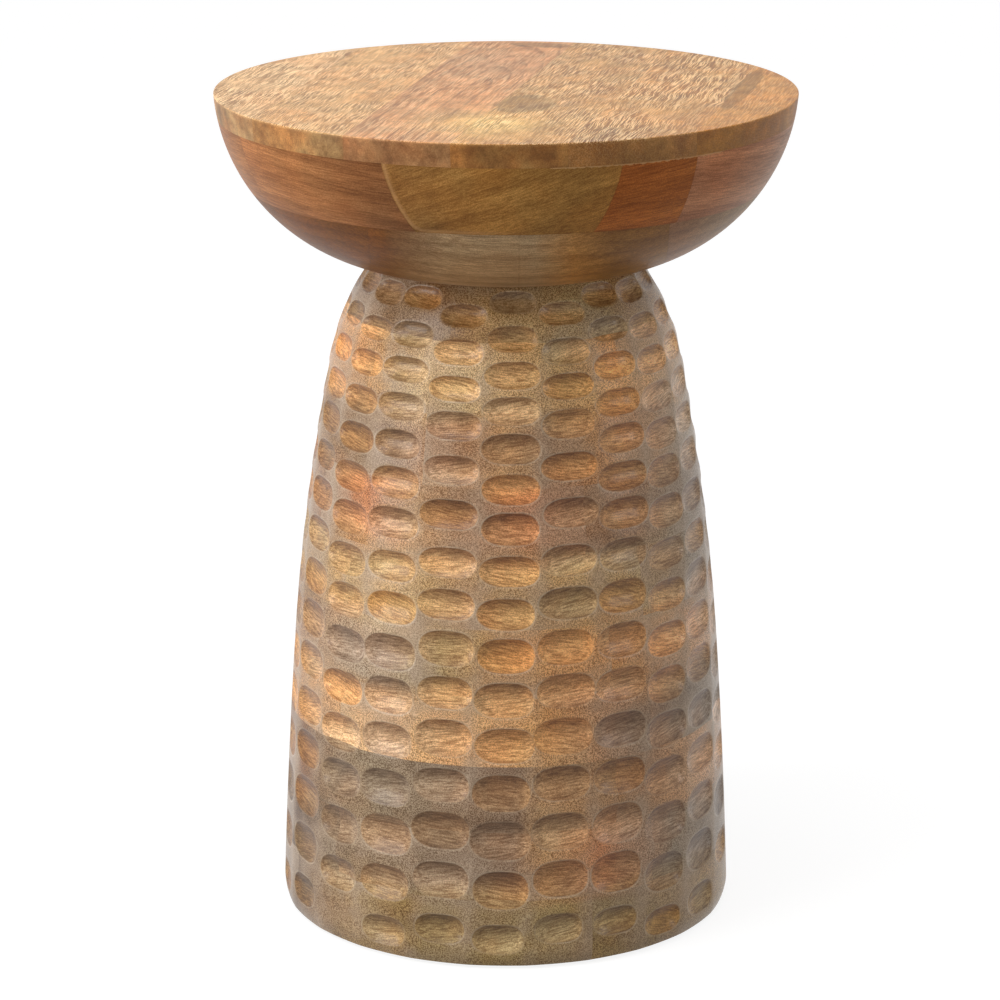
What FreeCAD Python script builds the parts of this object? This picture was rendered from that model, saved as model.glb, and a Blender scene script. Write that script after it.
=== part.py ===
import FreeCAD, Part
import math
import os
import Sketcher
from collections import namedtuple

# Pedestal side table. A bowl-shaped top, glued up from boards and rim blocks and turned round, is
# screwed to a hollow pedestal of stacked ring courses whose outside is carved with gouge marks.
# The origin is on the floor under the middle of the pedestal, +Z is up and the front faces -Y.
# Angles round the table are counted from the front, positive towards +X.

# Driving dimensions, in millimetres and degrees.
SIZES = {
    # bowl-shaped top
    "top_diameter": 381.0,
    "top_thickness": 15.5,
    "rim_course_height": 45.5,
    "base_course_height": 51.0,
    "bowl_arc": 123.0,
    "bowl_foot_radius": 88.5,
    "rim_bore_radius": 126.0,
    "top_board_width": 70.0,
    "top_joint_shift": 7.0,
    "top_board_turn": 12.5,
    "base_board_width": 94.0,
    "base_joint_shift": 8.0,
    "base_board_turn": 0.0,
    # turned outline of the pedestal, heights counted from its own underside
    "course_height": 45.3,
    "crown_height": 33.0,
    "foot_radius": 149.6,
    "foot_arc": 30.0,
    "belly_radius": 151.7,
    "belly_height": 12.0,
    "lower_arc": 5300.0,
    "waist_radius": 142.7,
    "waist_height": 180.0,
    "middle_arc": 1590.0,
    "shoulder_radius": 117.2,
    "shoulder_height": 374.0,
    "upper_arc": 165.0,
    "crown_radius": 87.5,
    "bore_foot_radius": 108.0,
    "bore_top_radius": 66.0,
    "crown_turn": -20.0,
    # gouge marks
    "gouge_width": 37.5,
    "gouge_depth": 3.5,
    "gouge_row_fill": 0.76,
    "gouge_column_fill": 0.93,
    "first_row_drop": 9.2,
    "row_pitch": 20.6,
    "row_growth": 0.46,
    # fixings and feet
    "screw_circle_radius": 42.0,
    "screw_diameter": 5.0,
    "screw_bite": 23.5,
    "screw_head_diameter": 9.6,
    "screw_head_height": 3.4,
    "screw_tip_length": 6.0,
    "washer_diameter": 18.0,
    "washer_thickness": 1.5,
    "dowel_diameter": 12.0,
    "dowel_length": 40.0,
    "hole_clearance": 0.15,
    "pad_diameter": 28.0,
    "pad_thickness": 2.5,
}

# Counts, and the turn of each course's glue joints from the bottom course up.
COURSE_TURNS = (22.0, 41.0, -60.0, 41.0, -61.0, 40.0, 23.0, -25.0, 40.0)
BLOCKS_PER_COURSE = 4
CROWN_HALVES = 2
FIXINGS = 4
DOWELS = 2
PADS = 4

# Rim block joints: the angle where each meets the rim, and how far it is skewed from the radius.
RIM_JOINTS = (
    (-63.5, 0.0), (-24.5, -34.0), (22.6, 28.0), (39.0, 0.0), (97.0, 0.0), (162.0, 0.0), (230.0, 0.0),
)
RIM_PLAN_STEP = 30.0

# Gouge marks: how many, and how far each column is dropped, in rows. The first column is the one in
# front, and the rest follow towards +X. Some columns slip further between two rows. The columns sway
# a little from foot to crown, and crowd or spread in front by shares of the pedestal's height.
GOUGE_ROWS = 16
GOUGE_STAGGER = (
    0.0, 0.38, -0.05, 0.1, 0.02, 0.34, 0.06, 0.4, 0.0, 0.28, 0.05,
    0.42, 0.1, 0.36, -0.02, 0.3, 0.08, -0.03, 0.1, 0.03, 0.4,
)
GOUGE_SLIP = {1: 0.45, 2: -0.12, 18: 0.1, 19: 0.06, 20: 0.46}
SLIP_FROM, SLIP_TO = 3.0, 7.0
SWAY_AT_FOOT, SWAY_AT_CROWN = -2.5, 2.5
SPREAD_STOPS = ((0.0, -0.13), (0.5, -0.045), (0.72, 0.05), (1.0, 0.098))
ANGLE_JITTER = 0.35
HEIGHT_JITTER = 0.7
LENS_RISE = 0.8
LENS_OVERCUT = 0.5

# How far a cutting shape reaches past the wood, so that it leaves no skin.
OVERCUT = 20.0

# Directions: where the front lies, and where the first screw, dowel and pad stand, counted from +X.
FRONT = -90.0
FIRST_SCREW = 45.0
FIRST_DOWEL = 0.0
FIRST_PAD = 0.0
UPRIGHT = FreeCAD.Vector(0, 0, 1)

doc = FreeCAD.newDocument("PedestalSideTable")
sheet = doc.addObject("Spreadsheet::Sheet", "Sizes")
for line, (alias, value) in enumerate(SIZES.items(), start=1):
    sheet.set(f"A{line}", alias)
    sheet.set(f"B{line}", str(value))
    sheet.setAlias(f"B{line}", alias)
doc.recompute()

pieces = []

# Heights, as expressions on the sheet.
PEDESTAL_FOOT = "Sizes.pad_thickness"
CROWN_FOOT = f"({PEDESTAL_FOOT} + {len(COURSE_TURNS)} * Sizes.course_height)"
BOWL_FOOT = f"({CROWN_FOOT} + Sizes.crown_height)"
RIM_FOOT = f"({BOWL_FOOT} + Sizes.base_course_height)"
SLAB_FOOT = f"({RIM_FOOT} + Sizes.rim_course_height)"
TABLE_TOP = f"({SLAB_FOOT} + Sizes.top_thickness)"
DOWEL_FOOT = f"({BOWL_FOOT} - Sizes.dowel_length / 2)"

# Radii of the holes that the fixings pass through.
SCREW_HOLE = "Sizes.screw_diameter / 2 + Sizes.hole_clearance"
DOWEL_HOLE = "Sizes.dowel_diameter / 2 + Sizes.hole_clearance"


def size(expression):
    """The value of an alias or of an expression on the sheet."""
    found = sheet.evalExpression(expression if "Sizes." in expression else f"Sizes.{expression}")
    return float(getattr(found, "Value", found))


def bind(thing, **expressions):
    for name, expression in expressions.items():
        thing.setExpression(name.replace("_", "."), expression)
    return thing


def piece(thing, label):
    """Keeps an object as one of the table's own pieces, under the name of its file."""
    thing.Label = label
    pieces.append(thing)


def boolean(kind, base, tool, name):
    made = doc.addObject(f"Part::{kind}", name)
    made.Base = base
    made.Tool = tool
    return made


def compound(shapes, name):
    made = doc.addObject("Part::Feature", name)
    made.Shape = Part.makeCompound(shapes)
    return made


def arc_centre(start, end, radius):
    """Centre of the arc from start to end that bulges to the right of the way it runs."""
    along = end - start
    middle = (start + end) * 0.5
    inwards = FreeCAD.Vector(-along.y, along.x, 0).normalize()
    return middle + inwards * math.sqrt(radius**2 - along.Length**2 / 4)


# Sketches


def sketch_on(body, role):
    sketch = body.newObject("Sketcher::SketchObject", f"{body.Name}Sketch")
    plane = next(f for f in body.Origin.OriginFeatures if f.Role == role)
    sketch.AttachmentSupport = [(plane, "")]
    sketch.MapMode = "FlatFace"
    return sketch


def draw_outline(sketch, corners):
    """A closed outline, anticlockwise. A corner is (across, up, arc): expressions for its place and,
    where the edge that leaves it is an arc, for its radius. An across of None is on the axis."""
    places = [FreeCAD.Vector(size(x) if x else 0.0, size(y), 0) for x, y, _ in corners]
    joined = []
    for index, (x, y, arc) in enumerate(corners):
        start, end = places[index], places[(index + 1) % len(places)]
        if arc:
            centre = arc_centre(start, end, size(arc))
            circle = Part.Circle(centre, UPRIGHT, size(arc))
            first = math.atan2(start.y - centre.y, start.x - centre.x)
            last = math.atan2(end.y - centre.y, end.x - centre.x)
            edge = sketch.addGeometry(Part.ArcOfCircle(circle, first, last))
        else:
            edge = sketch.addGeometry(Part.LineSegment(start, end))
        joined.append(edge)
    for index, edge in enumerate(joined):
        following = joined[(index + 1) % len(joined)]
        sketch.addConstraint(Sketcher.Constraint("Coincident", edge, 2, following, 1))
    for edge, place, (x, y, arc) in zip(joined, places, corners):
        if x:
            across = sketch.addConstraint(Sketcher.Constraint("DistanceX", -1, 1, edge, 1, place.x))
            sketch.setExpression(f"Constraints[{across}]", x)
        else:
            sketch.addConstraint(Sketcher.Constraint("PointOnObject", edge, 1, -2))
        up = sketch.addConstraint(Sketcher.Constraint("DistanceY", -1, 1, edge, 1, place.y))
        sketch.setExpression(f"Constraints[{up}]", y)
        if arc:
            bend = sketch.addConstraint(Sketcher.Constraint("Radius", edge, size(arc)))
            sketch.setExpression(f"Constraints[{bend}]", arc)


def turned(name, corners):
    """A solid turned about the upright axis from its half outline."""
    body = doc.addObject("PartDesign::Body", name)
    sketch = sketch_on(body, "XZ_Plane")
    draw_outline(sketch, corners)
    revolution = body.newObject("PartDesign::Revolution", f"{name}Revolution")
    revolution.Profile = sketch
    revolution.ReferenceAxis = (sketch, ["V_Axis"])
    revolution.Angle = 360
    doc.recompute()
    return body


def cylinder(name, radius, height, foot, spot=(0.0, 0.0)):
    made = doc.addObject("Part::Cylinder", name)
    made.Placement.Base = FreeCAD.Vector(spot[0], spot[1], 0)
    return bind(made, Radius=radius, Height=height, Placement_Base_z=foot)


def round_spots(radius, count, first):
    """Points evenly spaced on a circle about the axis."""
    turns = [math.radians(first + 360.0 * k / count) for k in range(count)]
    return [(radius * math.cos(turn), radius * math.sin(turn)) for turn in turns]


def screw_spots():
    return round_spots(size("screw_circle_radius"), FIXINGS, FIRST_SCREW)


def dowel_spots():
    return round_spots(size("screw_circle_radius"), DOWELS, FIRST_DOWEL)


# The pedestal's turned outline, also followed by the gouge marks.


def pedestal_corners():
    def above(alias):
        return f"{PEDESTAL_FOOT} + Sizes.{alias}"

    return [
        ("Sizes.bore_foot_radius", PEDESTAL_FOOT, None),
        ("Sizes.foot_radius", PEDESTAL_FOOT, "Sizes.foot_arc"),
        ("Sizes.belly_radius", above("belly_height"), "Sizes.lower_arc"),
        ("Sizes.waist_radius", above("waist_height"), "Sizes.middle_arc"),
        ("Sizes.shoulder_radius", above("shoulder_height"), "Sizes.upper_arc"),
        ("Sizes.crown_radius", BOWL_FOOT, None),
        (None, BOWL_FOOT, None),
        (None, CROWN_FOOT, None),
        ("Sizes.bore_top_radius", CROWN_FOOT, None),
    ]


def outline_arcs():
    """The arcs of the turned outline, each as (low end, high end, centre, radius)."""
    corners = [c for c in pedestal_corners() if c[0]]
    arcs = []
    for (x0, y0, arc), (x1, y1, _) in zip(corners, corners[1:]):
        if arc:
            start = FreeCAD.Vector(size(x0), size(y0), 0)
            end = FreeCAD.Vector(size(x1), size(y1), 0)
            arcs.append((start.y, end.y, arc_centre(start, end, size(arc)), size(arc)))
    return arcs


def outline_at(height, arcs):
    """Radius of the pedestal at a height, and its slope there."""
    centre, bend = next((c, b) for low, high, c, b in arcs if low <= height <= high)
    reach = math.sqrt(bend**2 - (height - centre.y) ** 2)
    return centre.x + reach, -(height - centre.y) / reach


# Gouge marks

Mark = namedtuple("Mark", "angle height radius slope half_width half_height")


def jitter(column, row, salt):
    """A fixed uneven amount from -1 to 1, for handwork."""
    wave = math.sin(12.9898 * (column + 1) + 78.233 * (row + 1) + 37.719 * salt) * 43758.5453
    return 2.0 * (wave - math.floor(wave)) - 1.0


def slipped(column, place):
    """The place of a mark in its column, in rows, once the column has slipped."""
    share = min(max((place - SLIP_FROM) / (SLIP_TO - SLIP_FROM), 0.0), 1.0)
    return place + GOUGE_SLIP.get(column, 0.0) * share**2 * (3.0 - 2.0 * share)


def spread_at(share):
    """How far the columns spread in front, or crowd if below zero, at a share of the height."""
    for (low, first), (high, last) in zip(SPREAD_STOPS, SPREAD_STOPS[1:]):
        if share <= high:
            return first + (last - first) * (share - low) / (high - low)
    return SPREAD_STOPS[-1][1]


def gouge_marks():
    """Every mark's middle, its half sizes and the slope of the wood under it."""
    foot = size(PEDESTAL_FOOT)
    pedestal_height = size(BOWL_FOOT) - foot
    first_drop, pitch, growth = size("first_row_drop"), size("row_pitch"), size("row_growth")
    row_fill, column_fill, widest = size("gouge_row_fill"), size("gouge_column_fill"), size("gouge_width")
    columns = len(GOUGE_STAGGER)
    arcs = outline_arcs()
    marks = []
    for column, stagger in enumerate(GOUGE_STAGGER):
        for row in range(GOUGE_ROWS):
            place = slipped(column, row + stagger)
            half_height = row_fill * (pitch + 2 * growth * place) / 2
            height = pedestal_height - first_drop - pitch * place - growth * place**2
            height += HEIGHT_JITTER * jitter(column, row, 1)
            height = min(height, pedestal_height - half_height - LENS_RISE)
            if height < half_height + LENS_RISE:
                continue
            share = height / pedestal_height
            sway = SWAY_AT_FOOT + (SWAY_AT_CROWN - SWAY_AT_FOOT) * share
            spread = spread_at(share)
            even = math.radians(sway + 360.0 * column / columns)
            angle = math.degrees(even + spread * math.sin(even)) + ANGLE_JITTER * jitter(column, row, 2)
            radius, slope = outline_at(foot + height, arcs)
            room = 2 * math.pi / columns * (1 + spread * math.cos(even)) * radius
            half_width = min(widest, column_fill * room) / 2
            marks.append(Mark(angle, foot + height, radius, slope, half_width, half_height))
    return marks


def gouge_cutter(mark):
    """The thin slice of a barrel-edged cutting disc that scoops out one mark."""
    depth = size("gouge_depth")
    tangent = FreeCAD.Vector(mark.slope, 0, 1).normalize()
    outwards = FreeCAD.Vector(1, 0, -mark.slope).normalize()
    spot = FreeCAD.Vector(mark.radius, 0, mark.height)
    edge_radius = (mark.half_height**2 + depth**2) / (2 * depth)
    disc_radius = 1 / (2 * depth / mark.half_width**2 - outwards.x / mark.radius)
    half_chord = math.sqrt(edge_radius**2 - (edge_radius - depth - LENS_RISE) ** 2)
    chord = spot + outwards * LENS_RISE
    low, high = chord - tangent * half_chord, chord + tangent * half_chord
    edge = Part.Arc(low, spot - outwards * depth, high).toShape()
    section = Part.Face(Part.Wire([edge, Part.makeLine(high, low)]))
    hub = spot + outwards * (disc_radius - depth)
    sweep = math.degrees(math.asin((mark.half_width + LENS_OVERCUT) / disc_radius))
    section.rotate(hub, tangent, -sweep)
    lens = section.revolve(hub, tangent, 2 * sweep)
    lens.rotate(FreeCAD.Vector(), UPRIGHT, mark.angle + FRONT)
    return lens


def marks_touching(marks, low, high, first, span):
    """The marks that reach into a height range and into a sector of the pedestal."""
    near = []
    for mark in marks:
        reach = math.degrees((mark.half_width + LENS_OVERCUT) / mark.radius)
        tall = mark.half_height + LENS_RISE + LENS_OVERCUT
        past = (mark.angle - first + reach) % 360.0
        if low - tall < mark.height < high + tall and past < span + 2 * reach:
            near.append(mark)
    return near


# Pedestal blocks


def sector(name, foot, height, first, span):
    wedge = cylinder(name, f"Sizes.belly_radius + {OVERCUT}", height, foot)
    wedge.Placement.Rotation = FreeCAD.Rotation(UPRIGHT, first + FRONT)
    wedge.Angle = span
    return wedge


def carved_block(label, turning, marks, foot, height, first, span):
    """One block of a course: a sector of the turned pedestal, scooped out by the gouge."""
    name = label.title().replace("_", "")
    blank = boolean("Common", turning, sector(f"{name}Sector", foot, height, first, span), f"{name}Blank")
    low = size(foot)
    near = marks_touching(marks, low, low + size(height), first, span)
    scoops = compound([gouge_cutter(mark) for mark in near], f"{name}Gouges")
    piece(boolean("Cut", blank, scoops, f"{name}Carved"), label)


def make_pedestal():
    turning = turned("PedestalTurning", pedestal_corners())
    bores = []
    for index, spot in enumerate(screw_spots(), start=1):
        bores.append(cylinder(f"CrownScrewHole{index}", SCREW_HOLE, "Sizes.crown_height", CROWN_FOOT, spot))
    for index, spot in enumerate(dowel_spots(), start=1):
        name = f"CrownDowelHole{index}"
        bores.append(cylinder(name, DOWEL_HOLE, "Sizes.dowel_length / 2", DOWEL_FOOT, spot))
    holes = doc.addObject("Part::Compound", "CrownHoles")
    holes.Links = bores
    drilled = boolean("Cut", turning, holes, "PedestalDrilled")
    doc.recompute()
    marks = gouge_marks()
    print("gouge marks", len(marks))
    span = 360.0 / BLOCKS_PER_COURSE
    for course, turn in enumerate(COURSE_TURNS, start=1):
        foot = f"{PEDESTAL_FOOT} + {course - 1} * Sizes.course_height"
        for block in range(BLOCKS_PER_COURSE):
            label = f"pedestal_course_{course}_block_{block + 1}"
            carved_block(label, turning, marks, foot, "Sizes.course_height", turn + span * block, span)
    half = 360.0 / CROWN_HALVES
    for index in range(CROWN_HALVES):
        label = f"pedestal_crown_half_{index + 1}"
        first = size("crown_turn") + half * index
        carved_block(label, drilled, marks, CROWN_FOOT, "Sizes.crown_height", first, half)


# Bowl-shaped top


def bowl_corners():
    return [
        (None, BOWL_FOOT, None),
        ("Sizes.bowl_foot_radius", BOWL_FOOT, "Sizes.bowl_arc"),
        ("Sizes.top_diameter / 2", TABLE_TOP, None),
        (None, TABLE_TOP, None),
        (None, SLAB_FOOT, None),
        ("Sizes.rim_bore_radius", SLAB_FOOT, None),
        ("Sizes.rim_bore_radius", RIM_FOOT, None),
        (None, RIM_FOOT, None),
    ]


def bowl_radius_at(height):
    """Radius of the bowl's outside at a height."""
    foot, rim = [FreeCAD.Vector(size(x), size(y), 0) for x, y, _ in bowl_corners()[1:3]]
    bend = size("bowl_arc")
    centre = arc_centre(foot, rim, bend)
    return centre.x + math.sqrt(bend**2 - (height - centre.y) ** 2)


def parallel_boards(turning, label, shift, width, foot, height, turn):
    """A layer of boards glued edge to edge. The stock of the outermost two reaches past the rim."""
    layer_radius = bowl_radius_at(size(foot) + size(height))
    reach = layer_radius + OVERCUT
    most = math.ceil(reach / width)
    joints = [shift + width * k for k in range(-most, most + 1)]
    edges = [-reach, *(j for j in joints if abs(j) < layer_radius), reach]
    around = FreeCAD.Rotation(UPRIGHT, -turn)
    for index, (low, high) in enumerate(zip(edges, edges[1:]), start=1):
        name = f"{label}_{index}".title().replace("_", "")
        stock = doc.addObject("Part::Box", f"{name}Stock")
        stock.Length = high - low
        stock.Width = 2 * reach
        stock.Placement = FreeCAD.Placement(around.multVec(FreeCAD.Vector(low, -reach, 0)), around)
        bind(stock, Height=height, Placement_Base_z=foot)
        piece(boolean("Common", turning, stock, name), f"{label}_{index}")


def rim_joint(angle, skew):
    """Two points on a rim joint in plan: well outside the rim, and inside the bore of the ring."""
    rim = size("top_diameter") / 2
    turn = math.radians(angle)
    at_rim = FreeCAD.Vector(rim * math.sin(turn), -rim * math.cos(turn), 0)
    inwards = FreeCAD.Rotation(UPRIGHT, skew).multVec(at_rim * (-1.0 / rim))
    along = -at_rim.dot(inwards)
    off_axis = (at_rim + inwards * along).Length
    bore = size("rim_bore_radius")
    to_bore = along - math.sqrt(bore**2 - off_axis**2)
    return at_rim - inwards * OVERCUT, at_rim + inwards * to_bore


def make_rim(turning):
    """The ring of blocks under the top boards."""
    rim_reach = (size("top_diameter") / 2 + OVERCUT) / math.cos(math.radians(RIM_PLAN_STEP / 2))
    for index, (angle, skew) in enumerate(RIM_JOINTS):
        following, next_skew = RIM_JOINTS[(index + 1) % len(RIM_JOINTS)]
        span = (following - angle) % 360.0
        first_out, first_in = rim_joint(angle, skew)
        last_out, last_in = rim_joint(following, next_skew)
        steps = max(2, math.ceil(span / RIM_PLAN_STEP))
        outer = []
        for step in range(1, steps):
            turn = math.radians(angle + span * step / steps)
            outer.append(FreeCAD.Vector(rim_reach * math.sin(turn), -rim_reach * math.cos(turn), 0))
        plan = doc.addObject("Part::Polygon", f"RimPlan{index + 1}")
        plan.Nodes = [first_in, first_out, *outer, last_out, last_in]
        plan.Close = True
        prism = doc.addObject("Part::Extrusion", f"RimPrism{index + 1}")
        prism.Base = plan
        prism.DirMode = "Custom"
        prism.Dir = UPRIGHT
        prism.Solid = True
        bind(prism, LengthFwd="Sizes.rim_course_height", Placement_Base_z=RIM_FOOT)
        piece(boolean("Common", turning, prism, f"RimBlock{index + 1}"), f"rim_block_{index + 1}")


def make_bowl():
    turning = turned("BowlTurning", bowl_corners())
    bores = []
    for index, spot in enumerate(screw_spots(), start=1):
        depth = "Sizes.screw_bite + Sizes.hole_clearance"
        bores.append(cylinder(f"PilotHole{index}", SCREW_HOLE, depth, BOWL_FOOT, spot))
    for index, spot in enumerate(dowel_spots(), start=1):
        bores.append(cylinder(f"BowlDowelHole{index}", DOWEL_HOLE, "Sizes.dowel_length / 2", BOWL_FOOT, spot))
    holes = doc.addObject("Part::Compound", "BowlHoles")
    holes.Links = bores
    drilled = boolean("Cut", turning, holes, "BowlDrilled")
    doc.recompute()
    parallel_boards(drilled, "bowl_base_board", size("base_joint_shift"), size("base_board_width"),
                    BOWL_FOOT, "Sizes.base_course_height", size("base_board_turn"))
    make_rim(turning)
    parallel_boards(turning, "top_board", size("top_joint_shift"), size("top_board_width"),
                    SLAB_FOOT, "Sizes.top_thickness", size("top_board_turn"))


# Fixings and feet


def group(label, links):
    """Identical small pieces that share one node, each a solid of its own."""
    doc.recompute()
    gathered = compound([link.Shape for link in links], label.title().replace("_", ""))
    piece(gathered, label)


def make_screws():
    """Pan-head wood screws, driven up through the crown into the bowl."""
    seat = f"{CROWN_FOOT} - Sizes.washer_thickness"
    head = "Sizes.screw_head_diameter / 2"
    shank = "Sizes.screw_diameter / 2"
    tip = f"{BOWL_FOOT} + Sizes.screw_bite"
    screws = []
    for index, (x, y) in enumerate(screw_spots(), start=1):
        body = turned(f"Screw{index}", [
            (None, f"{seat} - Sizes.screw_head_height", None),
            (f"{head} / 2", f"{seat} - Sizes.screw_head_height", head),
            (head, seat, None),
            (shank, seat, None),
            (shank, f"{tip} - Sizes.screw_tip_length", None),
            (None, tip, None),
        ])
        body.Placement.Base = FreeCAD.Vector(x, y, 0)
        screws.append(body)
    group("top_fixing_screws", screws)


def make_washers():
    thickness = "Sizes.washer_thickness"
    foot = f"{CROWN_FOOT} - {thickness}"
    washers = []
    for index, spot in enumerate(screw_spots(), start=1):
        disc = cylinder(f"WasherDisc{index}", "Sizes.washer_diameter / 2", thickness, foot, spot)
        eye = cylinder(f"WasherEye{index}", SCREW_HOLE, thickness, foot, spot)
        washers.append(boolean("Cut", disc, eye, f"Washer{index}"))
    group("screw_washers", washers)


def make_dowels():
    dowels = [
        cylinder(f"Dowel{index}", "Sizes.dowel_diameter / 2", "Sizes.dowel_length", DOWEL_FOOT, spot)
        for index, spot in enumerate(dowel_spots(), start=1)
    ]
    group("locating_dowels", dowels)


def make_pads():
    """Felt pads under the middle of the foot's ring."""
    spots = round_spots(size("(Sizes.bore_foot_radius + Sizes.foot_radius) / 2"), PADS, FIRST_PAD)
    pads = [
        cylinder(f"Pad{index}", "Sizes.pad_diameter / 2", "Sizes.pad_thickness", "0 mm", spot)
        for index, spot in enumerate(spots, start=1)
    ]
    group("felt_pads", pads)


def check_and_write():
    doc.recompute()
    for thing in doc.Objects:
        if "Invalid" in thing.State or "Error" in thing.State:
            raise RuntimeError(f"{thing.Name} failed: {thing.State}")
    os.makedirs("parts", exist_ok=True)
    for thing in pieces:
        if thing.Shape.isNull() or not thing.Shape.isValid() or not thing.Shape.Solids:
            raise RuntimeError(f"{thing.Label} has no valid solid")
    for thing in pieces:
        thing.Shape.exportStep(f"parts/{thing.Label}.step")
    print("pieces", len(pieces))


make_pedestal()
make_bowl()
make_screws()
make_washers()
make_dowels()
make_pads()
check_and_write()
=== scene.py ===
import math

import bmesh
import bpy
import numpy as np
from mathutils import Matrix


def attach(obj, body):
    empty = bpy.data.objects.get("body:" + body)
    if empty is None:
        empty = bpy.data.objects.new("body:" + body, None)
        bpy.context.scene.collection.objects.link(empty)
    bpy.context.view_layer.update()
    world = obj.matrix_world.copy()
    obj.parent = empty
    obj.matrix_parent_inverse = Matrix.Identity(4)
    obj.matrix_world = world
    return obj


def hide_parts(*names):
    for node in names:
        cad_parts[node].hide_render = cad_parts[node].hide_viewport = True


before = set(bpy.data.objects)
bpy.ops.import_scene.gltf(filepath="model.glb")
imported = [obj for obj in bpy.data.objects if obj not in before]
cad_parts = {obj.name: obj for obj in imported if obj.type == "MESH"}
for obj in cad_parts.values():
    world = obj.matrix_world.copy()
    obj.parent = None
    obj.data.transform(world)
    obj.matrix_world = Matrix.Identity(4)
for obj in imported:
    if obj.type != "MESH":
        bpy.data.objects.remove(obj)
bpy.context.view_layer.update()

mm = 0.001  # sizes below are in millimetres and are turned into metres where a mesh is made
weldGap = 0.002  # points closer than this are merged
print("frame", len(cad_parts), "nodes")


# colours are written as screen values, 0 to 255, and turned linear for the shader
def paint(red, green, blue):
    shade = np.array([red, green, blue]) / 255.0
    return tuple(np.where(shade <= 0.04045, shade / 12.92, ((shade + 0.055) / 1.055) ** 2.4))


woodTones = {
    "cream": paint(226, 178, 124),
    "sand": paint(222, 169, 108),
    "blush": paint(216, 172, 136),
    "honey": paint(206, 157, 106),
    "caramel": paint(192, 138, 82),
    "tan": paint(194, 151, 106),
    "gold": paint(196, 158, 104),
    "rust": paint(194, 132, 92),
    "brick": paint(184, 110, 52),
    "bronze": paint(178, 129, 66),
    "sienna": paint(174, 117, 70),
    "cocoa": paint(142, 94, 56),
    "peat": paint(128, 86, 48),
    "bark": paint(144, 117, 70),
    "khaki": paint(164, 132, 90),
    "rose": paint(188, 147, 116),
    "lemon": paint(232, 192, 116),
    "olive": paint(172, 142, 94),
    "moss": paint(164, 132, 84),
    "brown": paint(164, 121, 84),
    "umber": paint(138, 105, 72),
    "plum": paint(142, 112, 90),
    "taupe": paint(184, 161, 138),
    "fresh": paint(190, 147, 90),
    "oat": paint(204, 172, 126),
    "wheat": paint(209, 169, 111),
    "sage": paint(180, 155, 112),
    "peach": paint(220, 159, 102),
    "apricot": paint(232, 171, 107),
    "drift": paint(150, 129, 105),
    "lead": paint(136, 123, 110),
    "soot": paint(94, 68, 44),
    "ash": paint(182, 160, 138),
    "slate": paint(154, 137, 120),
    "hazel": paint(186, 153, 112),
    "loam": paint(130, 80, 32),
    "copper": paint(206, 141, 66),
    "pearl": paint(234, 190, 142),
    "fawn": paint(154, 110, 58),
    "teak": paint(206, 149, 84),
    "cedar": paint(217, 157, 104),
    "larch": paint(205, 151, 88),
}


# meshes

# a closed skin: one loop of points per station, joined to the next station, with a flat cap at each end
def carryLoop(loops, capFirst=True, capLast=True):
    stations, count = loops.shape[:2]
    index = np.arange(stations * count).reshape(stations, count)
    here, after = index[:-1], index[1:]
    quads = np.stack([here, after, np.roll(after, -1, 1), np.roll(here, -1, 1)], -1).reshape(-1, 4)
    caps = []
    if capFirst:
        caps.append(index[0])
    if capLast:
        caps.append(index[-1][::-1])
    return loops.reshape(-1, 3), quads, caps


def fillMesh(name, points, quads, caps):
    mesh = bpy.data.meshes.new(name)
    corners = np.concatenate([quads.ravel(), *caps]).astype(np.int32)
    sizes = np.concatenate([np.full(len(quads), 4), [len(c) for c in caps]]).astype(np.int32)
    starts = np.concatenate([[0], np.cumsum(sizes)[:-1]]).astype(np.int32)
    mesh.vertices.add(len(points))
    mesh.vertices.foreach_set("co", (points * mm).astype(np.float32).ravel())
    mesh.loops.add(len(corners))
    mesh.loops.foreach_set("vertex_index", corners)
    mesh.polygons.add(len(sizes))
    mesh.polygons.foreach_set("loop_start", starts)
    mesh.update(calc_edges=True)
    mesh.validate()
    return mesh


def addField(mesh, name, kind, values):
    layer = mesh.attributes.new(name, kind, "POINT")
    key = {"FLOAT": "value", "FLOAT_VECTOR": "vector", "FLOAT_COLOR": "color"}[kind]
    layer.data.foreach_set(key, np.ascontiguousarray(values, np.float32).ravel())


# gives each point its numbers, its places in the wood, which are in millimetres, and its tone
def dressMesh(mesh, numbers, places, tone):
    for name, values in numbers.items():
        addField(mesh, name, "FLOAT", values)
    for name, values in places.items():
        addField(mesh, name, "FLOAT_VECTOR", values * mm)
    addField(mesh, "tone", "FLOAT_COLOR", np.concatenate([tone, np.ones((len(tone), 1))], 1))


# poles are closed by merging points that fall together, and only folds past the angle stay sharp
def finishMesh(mesh, sharpAngle):
    work = bmesh.new()
    work.from_mesh(mesh)
    bmesh.ops.remove_doubles(work, verts=work.verts, dist=weldGap * mm)
    bmesh.ops.dissolve_degenerate(work, edges=work.edges, dist=weldGap * mm)
    work.to_mesh(mesh)
    work.free()
    mesh.polygons.foreach_set("use_smooth", np.ones(len(mesh.polygons), bool))
    mesh.set_sharp_from_angle(angle=math.radians(sharpAngle))
    mesh.update()


def linkObject(name, data):
    thing = bpy.data.objects.new(name, data)
    bpy.context.scene.collection.objects.link(thing)
    return thing


def placePiece(name, mesh, node, material):
    mesh.materials.append(material)
    piece = linkObject(name, mesh)
    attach(piece, "root")
    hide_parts(node)
    return piece


# from 0 to 1 between two edges, with a soft start and end
def ease(low, high, value):
    share = np.clip((value - low) / (high - low), 0.0, 1.0)
    return share * share * (3.0 - 2.0 * share)


# shader node groups

socketKinds = {"Vector": "NodeSocketVector", "Tone": "NodeSocketColor", "Color": "NodeSocketColor"}


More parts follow.
